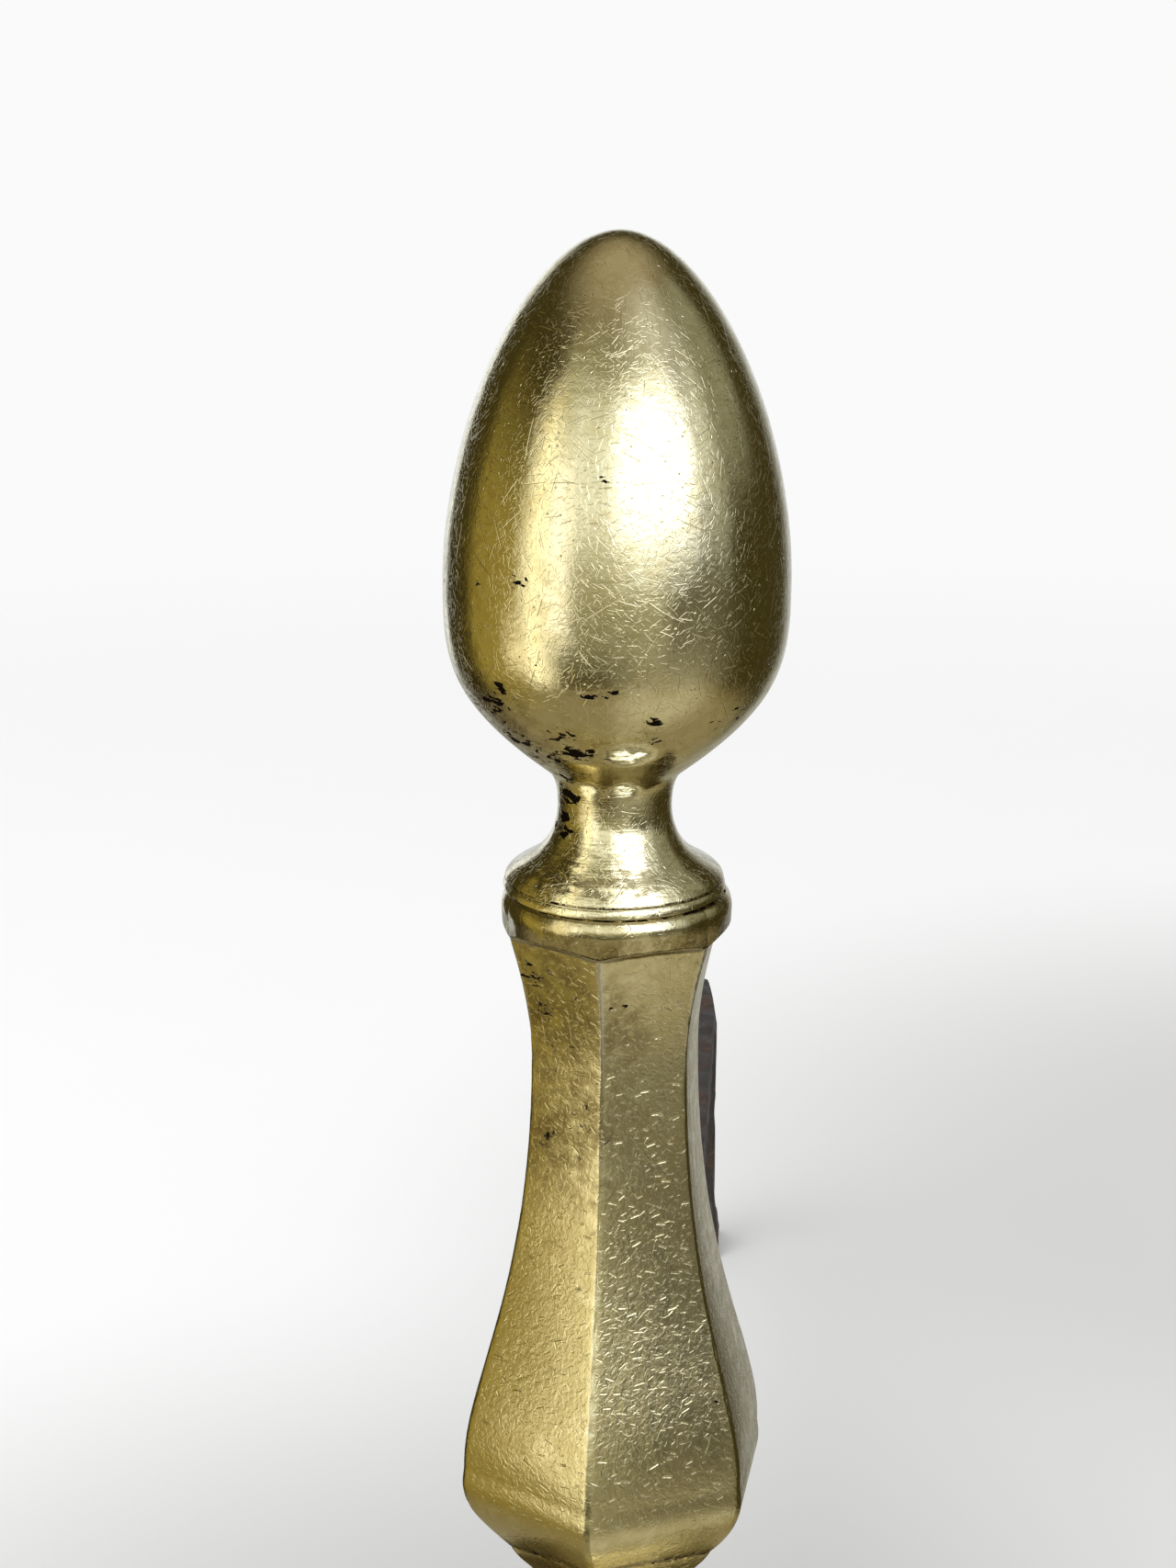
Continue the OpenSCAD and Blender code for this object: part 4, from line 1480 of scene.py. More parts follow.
@dataclass
class Legs:
    """Two cast cabriole legs with ball feet.

    Attributes:
        splay: Angle between straight ahead and a leg, in degrees.
        reach: Distance from the column's axis to the middle of a foot.
        ball_r: Radius of the ball.
        pad_r: Radius of the pad under it.
        ball_up: Height of the ball's centre.
        knee_w: Width at the knee.
        knee_t: Depth at the knee.
        ankle_w: Width at the ankle.
        ankle_t: Depth at the ankle.
        root_side: Distance of the root block's outer face from the middle.
        root_front: Distance of its front face from the axis.
        root_back: Distance of its rear face from the axis.
        bar_top: Height of the bar's top.
        bar_half: Half the width of the bar, with its clearance.
        bar_nose: How far the bar's end is in front of the axis, with its clearance.
        bar_t: Thickness of the bar.
        seam: Gap between the two legs.
        knee_at: Share of the leg's length at which the knee is.
        ankle_after: Share of its length between the knee and the ankle.
        grain: Size of the mesh's faces.
        rounding: How often the mesh is smoothed.
    """

    splay: float = 68.0
    reach: float = 104.0
    ball_r: float = 13.0
    pad_r: float = 8.5
    ball_up: float = 14.0
    knee_w: float = 19.0
    knee_t: float = 23.0
    ankle_w: float = 10.5
    ankle_t: float = 11.0
    root_side: float = 25.0
    root_front: float = 19.0
    root_back: float = 15.0
    bar_top: float = 99.5
    bar_half: float = 9.8
    bar_nose: float = 12.3
    bar_t: float = 16.0
    seam: float = 0.2
    knee_at: float = 0.34
    ankle_after: float = 0.42
    grain: float = 0.75
    rounding: int = 4

    def middle_line(self) -> Array:
        """The middle line of a leg.

        Returns:
            Its points, as distance out and height.
        """
        root_up = self.bar_top - self.bar_t / 2
        knee_end = (self.reach - 42, 0.68 * self.bar_top)
        upper = curve((14, root_up - 1), (self.reach - 70, root_up + 2),
                      (self.reach - 50, 0.93 * self.bar_top), knee_end, 30)
        lower = curve(knee_end, (self.reach - 38, 0.55 * self.bar_top),
                      (self.reach - 32, 0.38 * self.bar_top), (self.reach - 3, self.ball_up + 2), 34)
        return np.array(upper + lower[1:])

    def _size(self, share: float, root: float, knee: float, ankle: float) -> float:
        """A width or a depth of the leg at a share of its length."""
        if share < self.knee_at:
            return float(ease(root, knee, share / self.knee_at))
        return float(ease(knee, ankle, (share - self.knee_at) / self.ankle_after))

    def ring(self, share: float, at: Array, along: Array, sides: int) -> list[Vector]:
        """One ring of the leg, squarish at the root and rounder at the ankle.

        Args:
            share: Where it is along the leg, from 0 at the root to 1 at the foot.
            at: Its middle, as distance out and height.
            along: The way that the leg goes there, one long.
            sides: How many points it has.

        Returns:
            Its points, in metres.
        """
        half_w = self._size(share, self.root_front - 1, self.knee_w, self.ankle_w) / 2
        half_t = self._size(share, self.bar_t - 2, self.knee_t, self.ankle_t) / 2
        power = float(ease(0.5, 0.9, share))
        made = []
        for j in range(sides):
            a = 2 * math.pi * (j + 0.5) / sides
            u = half_t * math.copysign(abs(math.cos(a)) ** power, math.cos(a))
            v = half_w * math.copysign(abs(math.sin(a)) ** power, math.sin(a))
            made.append(Vector((at[0] - along[1] * u, v, at[1] + along[0] * u)) * MM)
        return made

    def _sweep(self, work: Clay) -> None:
        """Adds the leg's own loft, closed at both ends.

        Args:
            work: The mesh under work.
        """
        path = self.middle_line()
        sides = 48
        rings = []
        for i, at in enumerate(path):
            along = path[min(i + 1, len(path) - 1)] - path[max(i - 1, 0)]
            along = along / np.linalg.norm(along)
            points = self.ring(i / (len(path) - 1), at, along, sides)
            rings.append([work.verts.new(p) for p in points])
        self._bridge(work, rings)
        work.faces.new(list(reversed(rings[0])))
        work.faces.new(rings[-1])

    @staticmethod
    def _bridge(work: Clay, rings: list[list[bmesh.types.BMVert]]) -> None:
        """Joins rings of points with faces.

        Args:
            work: The mesh under work.
            rings: The rings in order. One of a single point is a pole.
        """
        for low, high in zip(rings, rings[1:]):
            sides = max(len(low), len(high))
            for j in range(sides):
                k = (j + 1) % sides
                corners = (low[j % len(low)], low[k % len(low)], high[k % len(high)], high[j % len(high)])
                unique = list(dict.fromkeys(corners))
                if len(unique) > 2:
                    work.faces.new(unique)

    def _foot(self, work: Clay) -> None:
        """Adds the ball foot and its pad as one turned form.

        Args:
            work: The mesh under work.
        """
        ball = arc((0.0, self.ball_up), self.ball_r, self.ball_r, -80, 90, 40)
        outline = [(0.0, 0.0)] + line((self.pad_r - 0.3, 0.0), (self.pad_r, 0.3), 1)
        outline += [(self.pad_r, 1.9), (self.pad_r - 0.5, 2.3)]
        outline += [point for point in ball if point[1] > 2.6]
        sides = 72
        rings = []
        for radius, level in outline:
            angles = [2 * math.pi * j / sides for j in range(sides if radius > 1e-6 else 1)]
            rings.append([work.verts.new(Vector((self.reach + radius * math.cos(a),
                                                 radius * math.sin(a), level)) * MM) for a in angles])
        self._bridge(work, rings)

    def _root(self, work: Clay, top: float) -> None:
        """Adds the U of the root block: in front of the bar's end and beside the bar.

        Args:
            work: The mesh under work.
            top: Height of the block's top.
        """
        under = self.bar_top - self.bar_t
        boxes = [
            ((self.seam / 2, -self.root_front), (self.root_side, -self.bar_nose)),
            ((self.bar_half, -self.bar_nose - 2), (self.root_side, self.root_back)),
        ]
        for (x0, y0), (x1, y1) in boxes:
            corners = bmesh.ops.create_cube(work, size=1.0)["verts"]
            for vert in corners:
                vert.co = Vector((x0 if vert.co.x < 0 else x1, y0 if vert.co.y < 0 else y1,
                                  under if vert.co.z < 0 else top)) * MM

    def make(self, column: Column) -> dict[str, Piece]:
        """Makes both legs.

        Args:
            column: Where the column stands.

        Returns:
            The objects by the names of their CAD nodes.
        """
        work = bmesh.new()
        self._sweep(work)
        self._foot(work)
        turn = math.radians(self.splay - 90)
        for vert in work.verts:
            x, y = vert.co.x, vert.co.y
            vert.co.x = x * math.cos(turn) - y * math.sin(turn)
            vert.co.y = x * math.sin(turn) + y * math.cos(turn)
        self._root(work, column.plate / MM)
        bmesh.ops.recalc_face_normals(work, faces=work.faces)
        right = even_skin(cast("leg_blank", work), "right_cabriole_leg", self.grain, self.rounding)
        self._trim(right, column)
        mirrored = right.data.copy()
        left = link("left_cabriole_leg", mirrored)
        points = points_of(left)
        points[:, 0] *= -1
        set_points(left, points)
        mirrored.flip_normals()
        made = {"right_leg": right, "left_leg": left}
        for node, piece in made.items():
            points = points_of(piece)
            points[:, 1] += column.axis_y
            low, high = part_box(node)
            set_points(piece, np.clip(points, np.array(low), np.array(high)))
            self._mark(piece, column)
            settle(piece)
            piece.data.materials.append(Finish.LEG.made())
        return made

    def _trim(self, piece: Piece, column: Column) -> None:
        """Presses the leg out of the bar's pocket and under the plate.

        Args:
            piece: The leg, with the column's axis at the origin.
            column: Where the column stands.
        """
        points = points_of(piece)
        points[:, 2] = np.minimum(points[:, 2], column.plate)
        points[:, 0] = np.maximum(points[:, 0], self.seam / 2 * MM)
        pocket = (points[:, 0] < self.bar_half * MM) & (points[:, 1] > -self.bar_nose * MM)
        near_side = self.bar_half * MM - points[:, 0] < points[:, 1] + self.bar_nose * MM
        high = points[:, 2] > 0.6 * self.bar_top * MM
        points[pocket & near_side & high, 0] = self.bar_half * MM
        points[pocket & ~near_side & high, 1] = -self.bar_nose * MM
        set_points(piece, points)

    def _mark(self, piece: Piece, column: Column) -> None:
        """Writes where dirt gathers and where hands and boots keep the brass bright.

        Args:
            piece: The leg.
            column: Where the column stands.
        """
        points = points_of(piece)
        out = np.hypot(points[:, 0], points[:, 1] - column.axis_y) / MM
        level = points[:, 2] / MM
        root = np.clip(1 - np.abs(out - 24) / 9, 0, 1) * 0.35
        foot = np.clip(1 - level / 3.5, 0, 1) * 0.5
        ball_top = np.clip(1 - np.abs(level - 26) / 4, 0, 1) * (out > self.reach - 16) * 0.5
        grime = np.maximum.reduce([root, foot, ball_top, np.full(len(out), 0.08)])
        worn = np.clip((level - 78) / 14, 0, 1) * np.clip((out - 30) / 8, 0, 1) * 0.5
        set_mark(piece, "grime", grime.astype(np.float32))
        set_mark(piece, "edge", worn.astype(np.float32))


# ---- iron work


class ForgedSkin(Pattern):
    """Hammer marks: flat dints over the whole surface, which only take metal away."""

    def __init__(self, material: Material) -> None:
        """Writes the tree.

        Args:
            material: What the piece is made of.
        """
        super().__init__("forged skin")
        shape = Term(self, self.entry.outputs[0])
        blow_size = self.size("Blow Size", 0.011)
        blow_depth = self.size("Blow Depth", 0.0005)
        scale_depth = self.size("Scale Depth", 0.00012)
        point = self.add("GeometryNodeInputPosition")
        normal = self.add("GeometryNodeInputNormal")
        blows = self.add("ShaderNodeTexVoronoi", {"feature": "SMOOTH_F1"}, {
            "Vector": point, "Scale": 1 / blow_size, "Smoothness": 0.35}, "Distance")
        scale = self.add("ShaderNodeTexNoise", {}, {"Vector": point, "Scale": SPECKLE, "Detail": 3.0})
        cut = (1 - blows).step(0.2, 0.9) * blow_depth + scale * scale_depth
        offset = normal * (cut * -1.0)
        moved = self.add("GeometryNodeSetPosition", {}, {"Geometry": shape, "Offset": offset})
        self.close(moved, material)


@dataclass
class BilletBar:
    """The forged bar that carries the logs, bent down into its rear leg.

    Attributes:
        grain: Size of the mesh's faces.
        rounding: How often the corners are smoothed.
        bend: Reach of the bend's outside, in millimetres, where bending has stretched the bar.
        narrowing: Share of its width that the bar has lost there.
    """

    grain: float = 0.95
    rounding: int = 5
    bend: float = 20.0
    narrowing: float = 0.34

    def make(self) -> Piece:
        """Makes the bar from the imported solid, with worn corners and hammer marks.

        Returns:
            The finished object.
        """
        base = forging_blank("billet_bar", self.grain, self.rounding)
        piece = ForgedSkin(Finish.BAR.made()).run(base, "forged_billet_bar")
        low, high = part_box("billet_bar")
        points = points_of(piece)
        near_top = np.clip(1 - (high.z - points[:, 2]) / (self.bend * MM), 0, 1)
        near_back = np.clip(1 - (high.y - points[:, 1]) / (2 * self.bend * MM), 0, 1)
        points[:, 0] *= 1 - self.narrowing * near_top * np.minimum(1.0, 2 * near_back)
        set_points(piece, np.clip(points, np.array(low), np.array(high)))
        settle(piece)
        return piece


def forging_blank(node: str, grain: float, rounding: int) -> Piece:
    """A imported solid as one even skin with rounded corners.

    Args:
        node: The CAD node.
        grain: Size of the faces in millimetres.
        rounding: How often the skin is smoothed.

    Returns:
        A plain object.
    """
    work = bmesh.new()
    work.from_mesh(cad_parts[node].data)
    bmesh.ops.remove_doubles(work, verts=work.verts, dist=1e-6)
    return even_skin(cast("blank", work), "blank", grain, rounding)


@dataclass
class RodSet:
    """The iron rod with its washer, its square nut and the four rivets of the legs.

    Attributes:
        rod_r: Radius of the rod.
        thread_up: Length of the rod's thread.
        washer_r: Radius of the washer.
        washer_t: Thickness of the washer.
        nut: Half width of the square nut.
        nut_h: Height of the nut.
        nut_face_r: Radius to which the nut's lower face is turned.
        nut_turned: How much further the turning reaches a little above that face.
        bore_r: Radius of the nut's and the washer's bores.
        rivet_r: Radius of the rivet heads.
        rivet_h: Height of the rivet heads.
        rivet_side: Distance of the rivets from the middle.
        rivet_row: Distance of the rivets from the axis, forwards and backwards.
        shank_r: Radius of their shanks.
        shank_h: Length of their shanks.
    """

    rod_r: float = 4.75
    thread_up: float = 16.0
    washer_r: float = 13.5
    washer_t: float = 2.0
    nut: float = 8.5
    nut_h: float = 8.0
    nut_face_r: float = 9.0
    nut_turned: float = 3.1
    bore_r: float = 4.95
    rivet_r: float = 4.0
    rivet_h: float = 2.0
    rivet_side: float = 17.0
    rivet_row: float = 9.0
    shank_r: float = 2.2
    shank_h: float = 20.0

    def rod(self, lathe: FacetLathe) -> Piece:
        """Makes the rod, threaded at its lower end.

        Args:
            lathe: The lathe.

        Returns:
            The finished object.
        """
        low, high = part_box("column_rod")
        length = (high.z - low.z) / MM
        threaded = turned(line((self.rod_r, 0.9), (self.rod_r, self.thread_up), 90))
        for station in threaded:
            station.thread = 1.0
        plain = turned([(self.rod_r, self.thread_up + 0.4), (self.rod_r, length - 1),
                        (self.rod_r - 1, length), (0.0, length)])
        end = turned([(0.0, 0.0), (self.rod_r - 1.1, 0.0), (self.rod_r - 0.3, 0.7)])
        return lathe.make("threaded_rod", end + threaded + plain, False, low.z, Steps_Around=96)

    def washer(self, lathe: FacetLathe) -> Piece:
        """Makes the washer, with its edges rounded by the file.

        Args:
            lathe: The lathe.

        Returns:
            The finished object.
        """
        edge = 0.4
        rim = self.washer_r - edge
        top = self.washer_t - edge
        outside = [(rim, self.washer_t), (self.washer_r, top), (self.washer_r, edge), (rim, 0.0)]
        stations = turned(outside + [(self.bore_r + 0.3, 0.0), (self.bore_r + 0.3, self.washer_t)])
        return lathe.make("iron_washer", stations, True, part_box("rod_washer")[0].z,
                          Steps_Around=120, Dent_Depth=0.0003, Dent_Size=0.005)

    def square_nut(self, lathe: FacetLathe) -> Piece:
        """Makes the square nut, with its lower corners turned off.

        Args:
            lathe: The lathe.

        Returns:
            The finished object.
        """
        edge = 0.3
        levels = [self.nut_h - edge - i * 0.55 for i in range(13)]
        levels = [self.nut_h] + [z for z in levels if z > edge] + [edge, 0.0]
        outside = []
        for z in levels:
            inset = edge if z in (0.0, self.nut_h) else 0.0
            limit = self.nut_face_r + self.nut_turned * min(1.0, z / (0.25 * self.nut_h))
            outside.append(Station(z, self.nut - inset, grime=0.1, limit=limit))
        bore = turned([(self.bore_r, 0.0), (self.bore_r, self.nut_h)], 0.9)
        return lathe.make("square_nut", outside + bore, True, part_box("rod_nut")[0].z,
                          Steps_Around=4 * 28, Sides=4, Turn=math.radians(45),
                          Dent_Depth=0.0002, Dent_Size=0.004)

    def rivets(self, lathe: FacetLathe) -> Piece:
        """Makes four hammered rivet heads, one piece of four.

        Args:
            lathe: The lathe.

        Returns:
            The finished object.
        """
        cap = arc((0.0, 0.0), self.rivet_r, self.rivet_h, -90, 0, 14)
        shank = [(self.rivet_r - 0.2, 0.1), (self.shank_r, 0.1), (self.shank_r, self.shank_h),
                 (0.0, self.shank_h)]
        head = lathe.make("rivet_head", turned(cap + shank), False, 0.0, Axis_Y=0.0,
                          Steps_Around=48, Dent_Depth=0.00035, Dent_Size=0.0022)
        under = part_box("leg_rivets")[0].z + self.rivet_h * MM
        places = [(x * self.rivet_side * MM, lathe.axis + y * self.rivet_row * MM, under)
                  for x in (-1, 1) for y in (-1, 1)]
        row = RivetRow(head, Finish.ROD.made())
        piece = row.run(plot("rivet_places", places, [], []), "leg_rivet_heads")
        bpy.data.objects.remove(head)
        return piece

    def make(self, column: Column) -> dict[str, Piece]:
        """Makes the rod and its fastenings.

        Args:
            column: Where the column stands.

        Returns:
            The objects by the names of their CAD nodes.
        """
        lathe = FacetLathe(Finish.ROD.made(), column.axis_y)
        return {
            "column_rod": self.rod(lathe),
            "rod_washer": self.washer(lathe),
            "rod_nut": self.square_nut(lathe),
            "leg_rivets": self.rivets(lathe),
        }


class RivetRow(Pattern):
    """Sets a copy of a rivet on each point, turned at random."""

    def __init__(self, rivet: Piece, material: Material) -> None:
        """Writes the tree.

        Args:
            rivet: The rivet that is copied.
            material: What the rivets are made of.
        """
        super().__init__("rivet row")
        points = Term(self, self.entry.outputs[0])
        seed = self.size("Seed", 3)
        places = self.add("GeometryNodeMeshToPoints", {}, {"Mesh": points})
        copied = self.add("GeometryNodeObjectInfo", {}, {"Object": rivet}, "Geometry")
        angle = self.add("FunctionNodeRandomValue", {"data_type": "FLOAT"}, {
            "Min": 0.0, "Max": 2 * math.pi, "Seed": seed}, "Value")
        rows = self.add("GeometryNodeInstanceOnPoints", {}, {
            "Points": places, "Instance": copied, "Rotation": self.arrow(Z=angle)})
        self.close(rows, material)


# ---- studio


@dataclass(frozen=True)
class Panel:
    """A soft bright or dark field of the far room, as the brass sees it.

    Attributes:
        colour: Its light.
        left: Azimuth of its left edge in degrees, 0 behind the camera and positive to the right.
        right: Azimuth of its right edge.
        low: Height of its lower edge in degrees above the horizon.
        high: Height of its upper edge.
        soft: Width of its soft side edges in degrees.
        soft_up: Width of its soft upper and lower edges in degrees.
    """

    colour: Colour
    left: float
    right: float
    low: float
    high: float
    soft: float = 8.0
    soft_up: float = 8.0


@dataclass(frozen=True)
class Window:
    """A soft window that stands near the column, so that each piece sees it at another height.

    Attributes:
        colour: Its light.
        azimuth: Where it stands round the column, in degrees from the camera to the right.
        distance: Distance from the column's axis, in metres.
        left: Its left edge, in metres from the foot of that distance.
        right: Its right edge.
        low: Its lower edge, in metres above the seam.
        high: Its upper edge.
        soft: Half the width of its soft edges, in metres.
    """

    colour: Colour
    azimuth: float
    distance: float
    left: float
    right: float
    low: float
    high: float
    soft: float

    def make(self, name: str, column: Column, camera_azimuth: float) -> None:
        """Makes the window as an upright sheet that only reflections see.

        Args:
            name: The sheet's name.
            column: Where the column stands.
            camera_azimuth: Where the camera stands round the column, in degrees.
        """
        turn = math.radians(camera_azimuth + self.azimuth)
        outward = Vector((math.sin(turn), -math.cos(turn), 0))
        along = Vector((math.cos(turn), math.sin(turn), 0))
        foot = Vector((0, column.axis_y, column.seam)) + outward * self.distance
        steps = 28
        across = np.linspace(self.left - self.soft, self.right + self.soft, steps + 1)
        upward = np.linspace(self.low - self.soft, self.high + self.soft, steps + 1)
        places = [foot + along * float(s) + Vector((0, 0, float(h))) for h in upward for s in across]
        row = steps + 1
        faces = [(j * row + i, j * row + i + 1, (j + 1) * row + i + 1, (j + 1) * row + i)
                 for j in range(steps) for i in range(steps)]
        sheet = plot(name, places, [], faces)
        glow = np.outer(self.fade(upward, self.low, self.high), self.fade(across, self.left, self.right))
        set_mark(sheet, "glow", glow.ravel())
        sheet.data.materials.append(self._light(name))
        sheet.visible_camera = sheet.visible_diffuse = False
        sheet.visible_transmission = sheet.visible_shadow = False

    def fade(self, places: Array, low: float, high: float) -> Array:
        """Smooth steps up at one edge and down at the other."""
        up, down = places - low + self.soft, high + self.soft - places
        return ease(0.0, 1.0, up / (2 * self.soft)) * ease(0.0, 1.0, down / (2 * self.soft))

    def _light(self, name: str) -> Material:
        """Writes the window's light, which fades out to nothing at the edges.

        Args:
            name: The material's name.

        Returns:
            The material.
        """
        made, sheet = blank_material(name)
        made.cycles.emission_sampling = "NONE"
        level = max(self.colour)
        tint = tuple(c / level for c in self.colour)
        light = sheet.add("ShaderNodeEmission", {}, {"Color": tint, "Strength": level})
        sheet.fade_out(1 - sheet.mark("glow"), light)
        return made


@dataclass(frozen=True)
class PaintedShadow:
    """A painted shadow: a darker place of the floor's colour.

    Attributes:
        x: Its middle, in metres.
        y: Its middle, in metres.
        radius: How far it reaches.
        shade: Colour of its middle, as a grey from 0 to 1.
    """

    x: float
    y: float
    radius: float
    shade: float


@dataclass
class Studio:
    """Pale floor with painted shadows, white surround, the room and the windows that the brass sees, and
    one soft lamp.

    Attributes:
        room: Light of the room where no panel is.
        white: Brightness of the surround that the camera sees.
        dome: Brightness of the plain light that falls on everything dull.
        floor_r: Radius of the floor.
        floor_fade: Where the floor starts to run out into the surround.
        lamp_size: Width of the lamp.
        lamp_power: Its power in watts.
        lamp_place: Where it hangs, in metres from the column's axis on the floor.
        lamp_aim: What it points at, from there too.
        sky_seam: Azimuth in degrees at which the panels' angles begin and end.
        paper: Colour of the floor.
        paper_shade: Colour of its faint clouds.
        painted_shadows: Its darker places, painted shadow.
        panels: The panels by their names, each laid over those before it.
        windows: The windows by their names.
    """

    room: Colour = (0.055, 0.045, 0.016)
    white: float = 0.955
    dome: float = 0.93
    floor_r: float = 1.5
    floor_fade: float = 0.9
    lamp_size: float = 1.2
    lamp_power: float = 5.0
    lamp_place: tuple[float, float, float] = (-0.9, -0.2, 1.2)
    lamp_aim: tuple[float, float, float] = (-0.05, 0.3, 0.0)
    sky_seam: float = -150.0
    paper: Colour = (0.93, 0.93, 0.93)
    paper_shade: Colour = (0.90, 0.90, 0.895)
    # painted shadows on the floor, beside and round the column
    painted_shadows: tuple[PaintedShadow, ...] = (PaintedShadow(0.26, 0.32, 0.42, 0.66), PaintedShadow(-0.03, -0.09, 0.35, 0.63))
    panels: dict[str, Panel] = field(default_factory=lambda: {
        "ceiling": Panel((0.42, 0.37, 0.29), -500, 500, 55, 200, 20, 20),
        "ceiling_glow": Panel((0.67, 0.67, 0.70), 12, 71, 36, 66, 25, 9),
        "table": Panel((0.31, 0.27, 0.17), -500, 500, -200, -39, 20, 8),
        "left_wall": Panel((0.34, 0.27, 0.07), -112, -65, -44, 14, 7, 18),
        "middle": Panel((0.56, 0.55, 0.425), -56, 32, -15, 43, 7, 24),
        "middle_light": Panel((1.03, 1.07, 1.10), -38, 11, 3.7, 33, 9.3, 8),
        "under_window": Panel((0.76, 0.74, 0.65), 5, 76, -72, -36, 22, 46),
        "right_near": Panel((0.855, 0.894, 0.93), 62, 81, 5.4, 36, 4.6, 19),
        "right_far": Panel((0.305, 0.307, 0.26), 77, 114.5, 7.7, 53, 8.8, 9.4),
        "back": Panel((1.07, 1.12, 1.24), 158, 233, -30, 16, 20, 12),
        "back_low": Panel((0.37, 0.365, 0.31), 160, 201, -90, -14, 9, 16),
    })
    windows: dict[str, Window] = field(default_factory=lambda: {
        "gold_window": Window((1.75, 1.68, 1.42), -45, 0.75, -0.238, -0.005, -0.493, 0.493, 0.154),
        "gold_window_middle": Window((1.645, 1.645, 1.72), -43, 0.74, -0.050, 0.156, -0.161, 0.331, 0.08),
        "main_window": Window((3.40, 3.60, 4.40), 24, 0.75, -0.301, 0.457, 0.14, 0.595, 0.22),
        "left_low_window": Window((1.19, 1.09, 0.857), -76, 0.75, -0.013, 0.291, -0.331, -0.143, 0.10),
    })

    def world(self, camera_azimuth: float) -> None:
        """Writes the surround.

        Args:
            camera_azimuth: Where the camera stands round the column, in degrees.
        """
        world = bpy.data.worlds.new("studio")
        bpy.context.scene.world = world
        world.use_nodes = True
        world.cycles.sampling_method = "NONE"
        sheet = Sheet(world.node_tree)
        way = sheet.add("ShaderNodeTexCoord", {}, {}, "Generated")
        x, y, z = way.part("X"), way.part("Y"), way.part("Z")
        turn = math.radians(camera_azimuth)
        ahead = x * math.sin(turn) - y * math.cos(turn)
        across = x * math.cos(turn) + y * math.sin(turn)
        azimuth = across.math("ARCTAN2", ahead) * (180 / math.pi)
        azimuth = azimuth + azimuth.math("LESS_THAN", self.sky_seam) * 360
        height = z.math("ARCSINE") * (180 / math.pi)
        seen = self.room
        for panel in self.panels.values():
            mask = (azimuth.step(panel.left - panel.soft, panel.left + panel.soft)
                    * azimuth.step(panel.right + panel.soft, panel.right - panel.soft)
                    * height.step(panel.low - panel.soft_up, panel.low + panel.soft_up)
                    * height.step(panel.high + panel.soft_up, panel.high - panel.soft_up))
            seen = sheet.blend(mask, seen, panel.colour)
        camera_ray = sheet.add("ShaderNodeLightPath", {}, {}, "Is Camera Ray")
        glossy_ray = sheet.add("ShaderNodeLightPath", {}, {}, "Is Glossy Ray")
        colour = sheet.blend(glossy_ray, (self.dome,) * 3, seen)
        colour = sheet.blend(camera_ray, colour, (self.white,) * 3)
        light = sheet.add("ShaderNodeBackground", {}, {"Color": colour, "Strength": 1.0})
        sheet.add("ShaderNodeOutputWorld", {}, {"Surface": light})

    def floor(self) -> None:
        """Makes the floor, with painted shadow in its colour, which runs out softly into the surround."""
        material, sheet = blank_material("pale_floor")
        point = sheet.place()
        shade = sheet.blend(sheet.noise(point, 60, 3) * 0.3, self.paper, self.paper_shade)
        # painted shadow: each pool darkens the floor's colour towards its grey
        for painted_shadow in self.painted_shadows:
            away = (point - (painted_shadow.x, painted_shadow.y, 0.0)).length()
            grey = (painted_shadow.shade, painted_shadow.shade, painted_shadow.shade - 0.012)
            shade = sheet.blend(away.step(painted_shadow.radius, 0.25 * painted_shadow.radius), shade, grey)
        paper = sheet.add("ShaderNodeBsdfDiffuse", {}, {"Color": shade})
        sheet.fade_out(point.length().step(self.floor_fade, self.floor_r - 0.01), paper)
        work = bmesh.new()
        bmesh.ops.create_circle(work, cap_ends=True, segments=128, radius=self.floor_r)
        floor = cast("pale_floor", work)
        floor.data.materials.append(material)
        floor.visible_glossy = False

    def lamp(self, column: Column) -> None:
        """Adds the soft lamp at the front left, which gives the floor its shadow.

        Args:
            column: Where the column stands.
        """
        data = bpy.data.lights.new("soft_lamp", "AREA")
        data.shape = "DISK"
        data.size = self.lamp_size
        data.energy = self.lamp_power
        lamp = link("soft_lamp", data)
        place, aim = [Vector((x, column.axis_y + y, z)) for x, y, z in (self.lamp_place, self.lamp_aim)]
        lamp.location = place
        lamp.rotation_euler = (aim - place).to_track_quat("-Z", "Y").to_euler()
        lamp.visible_glossy = False

    def make(self, column: Column, camera_azimuth: float) -> None:
        """Makes the floor, the surround, the lamp and the windows.

        Args:
            column: Where the column stands.
            camera_azimuth: Where the camera stands round the column, in degrees.
        """
        self.world(camera_azimuth)
        self.floor()
        self.lamp(column)
        for name, window in self.windows.items():
            window.make(name, column, camera_azimuth)


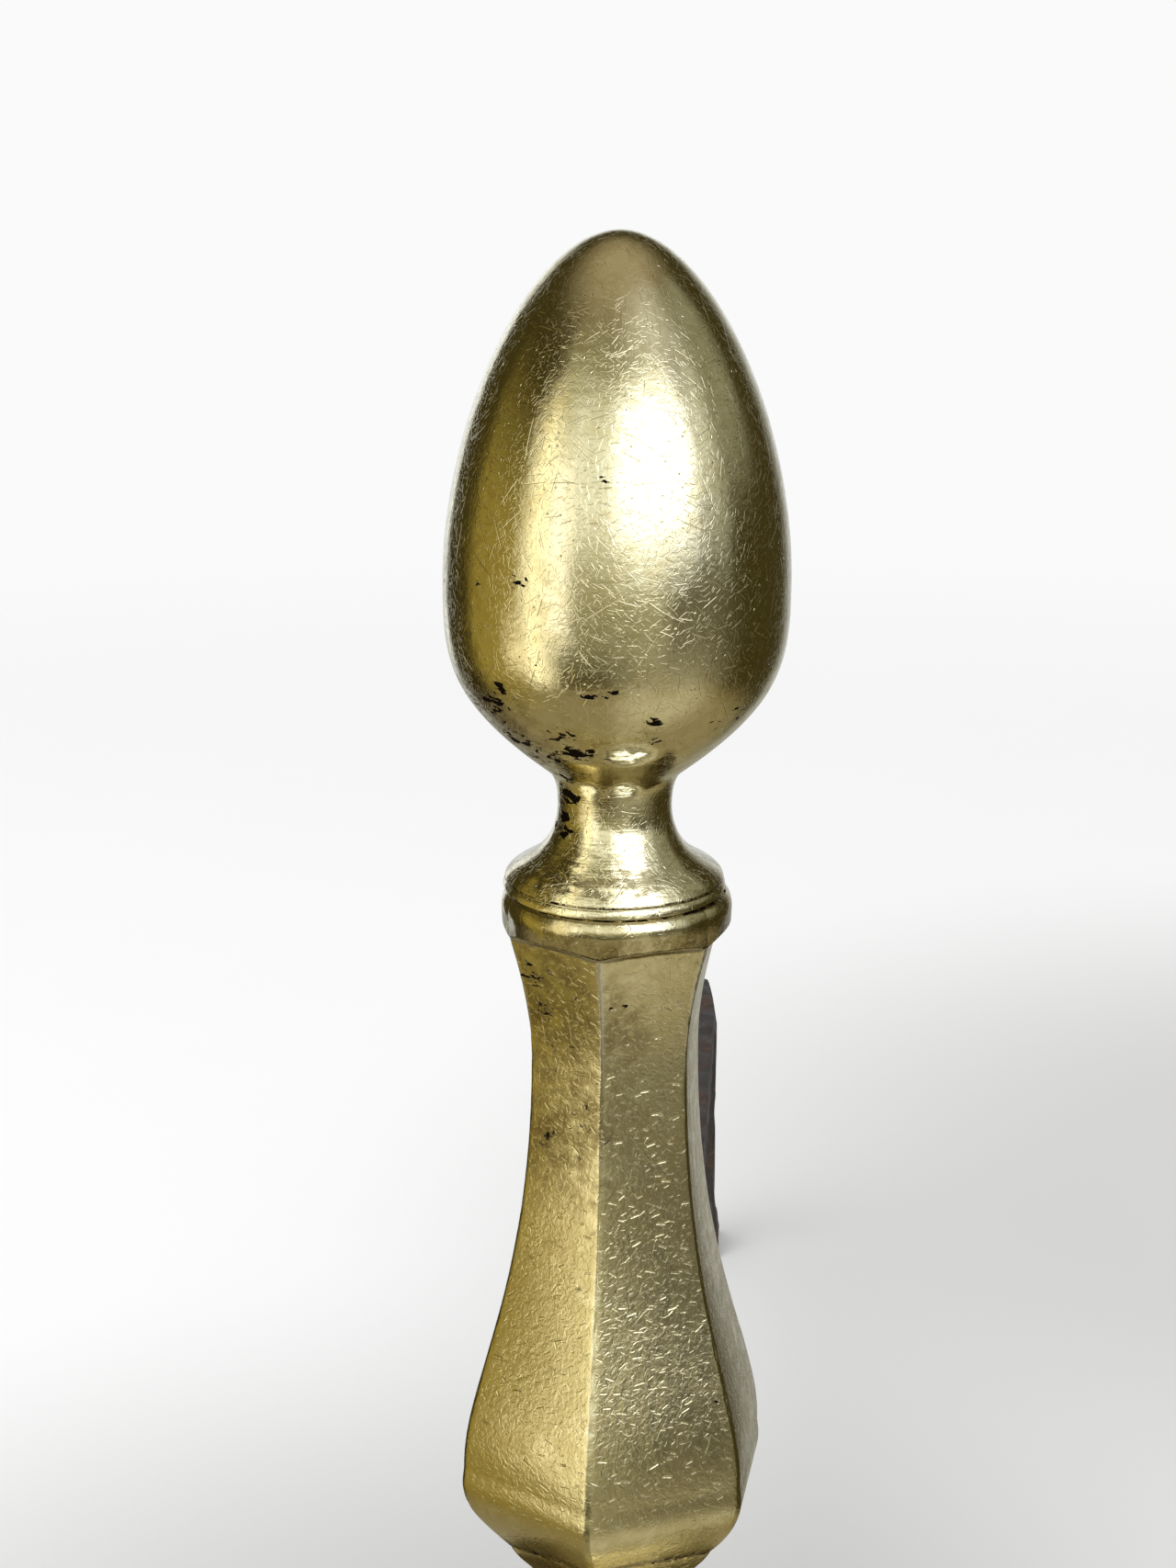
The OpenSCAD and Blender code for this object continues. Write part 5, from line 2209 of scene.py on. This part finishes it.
@dataclass
class View:
    """The camera at the photograph's place, measured from the seam on the column's axis.

    Attributes:
        distance: Distance from the column's axis, in millimetres.
        above: Height above the seam, in millimetres.
        azimuth: Where it stands round the column, in degrees towards +X.
        yaw: How far it looks to the left of the axis, in degrees.
        pitch: How far it looks down, in degrees.
        roll: How far it is tilted, in degrees.
        lens_px: Focal length in pixels of the photograph.
        photo_h: Height of the photograph in pixels.
        sensor: Width of the sensor's long side, in millimetres.
        side_shift: How far the whole camera is moved to the right, in millimetres.
    """

    distance: float = 593.66
    above: float = 192.10
    azimuth: float = 3.0
    yaw: float = 0.516
    pitch: float = 16.169
    roll: float = 0.155
    lens_px: float = 3650.0
    photo_h: float = 1707.0
    sensor: float = 36.0
    side_shift: float = 0.45

    def make(self, column: Column) -> None:
        """Makes the camera and makes it the scene's own.

        Args:
            column: Where the column stands.
        """
        data = bpy.data.cameras.new("photo_view")
        data.sensor_width = self.sensor
        data.lens = self.lens_px * self.sensor / self.photo_h
        data.clip_start = 0.01
        data.clip_end = 20
        camera = link("photo_view", data)
        side = math.radians(self.azimuth)
        camera.location = (self.distance * MM * math.sin(side) + self.side_shift * MM,
                           column.axis_y - self.distance * MM * math.cos(side),
                           column.seam + self.above * MM)
        heading = math.radians(self.azimuth + self.yaw)
        pitch = math.radians(self.pitch)
        ahead = Vector((-math.sin(heading) * math.cos(pitch), math.cos(heading) * math.cos(pitch),
                        -math.sin(pitch)))
        right = ahead.cross(Vector(UPWARD)).normalized()
        up = right.cross(ahead)
        tilt = math.radians(self.roll)
        turned_right = right * math.cos(tilt) + up * math.sin(tilt)
        turned_up = up * math.cos(tilt) - right * math.sin(tilt)
        camera.rotation_mode = "QUATERNION"
        rows = (turned_right, turned_up, -ahead)
        camera.rotation_quaternion = Matrix(rows).transposed().to_quaternion()
        bpy.context.scene.camera = camera


# ---- all together


def main() -> None:
    """Builds every piece in order, then the studio round them."""
    logging.basicConfig(level=logging.INFO, format="%(name)s: %(message)s")
    bpy.context.scene.view_settings.view_transform = "Standard"
    column = Column()
    view = View()
    view.make(column)

    hand_over(Finial().make(column), "finial")
    hand_over(Shaft().make(column), "shaft")
    for node, piece in Plinth().make(column).items():
        hand_over(piece, node)
    for node, piece in Legs().make(column).items():
        hand_over(piece, node)
    for node, piece in RodSet().make(column).items():
        hand_over(piece, node)
    hand_over(BilletBar().make(), "billet_bar")

    Studio().make(column, view.azimuth)


if __name__ == "__main__":
    main()
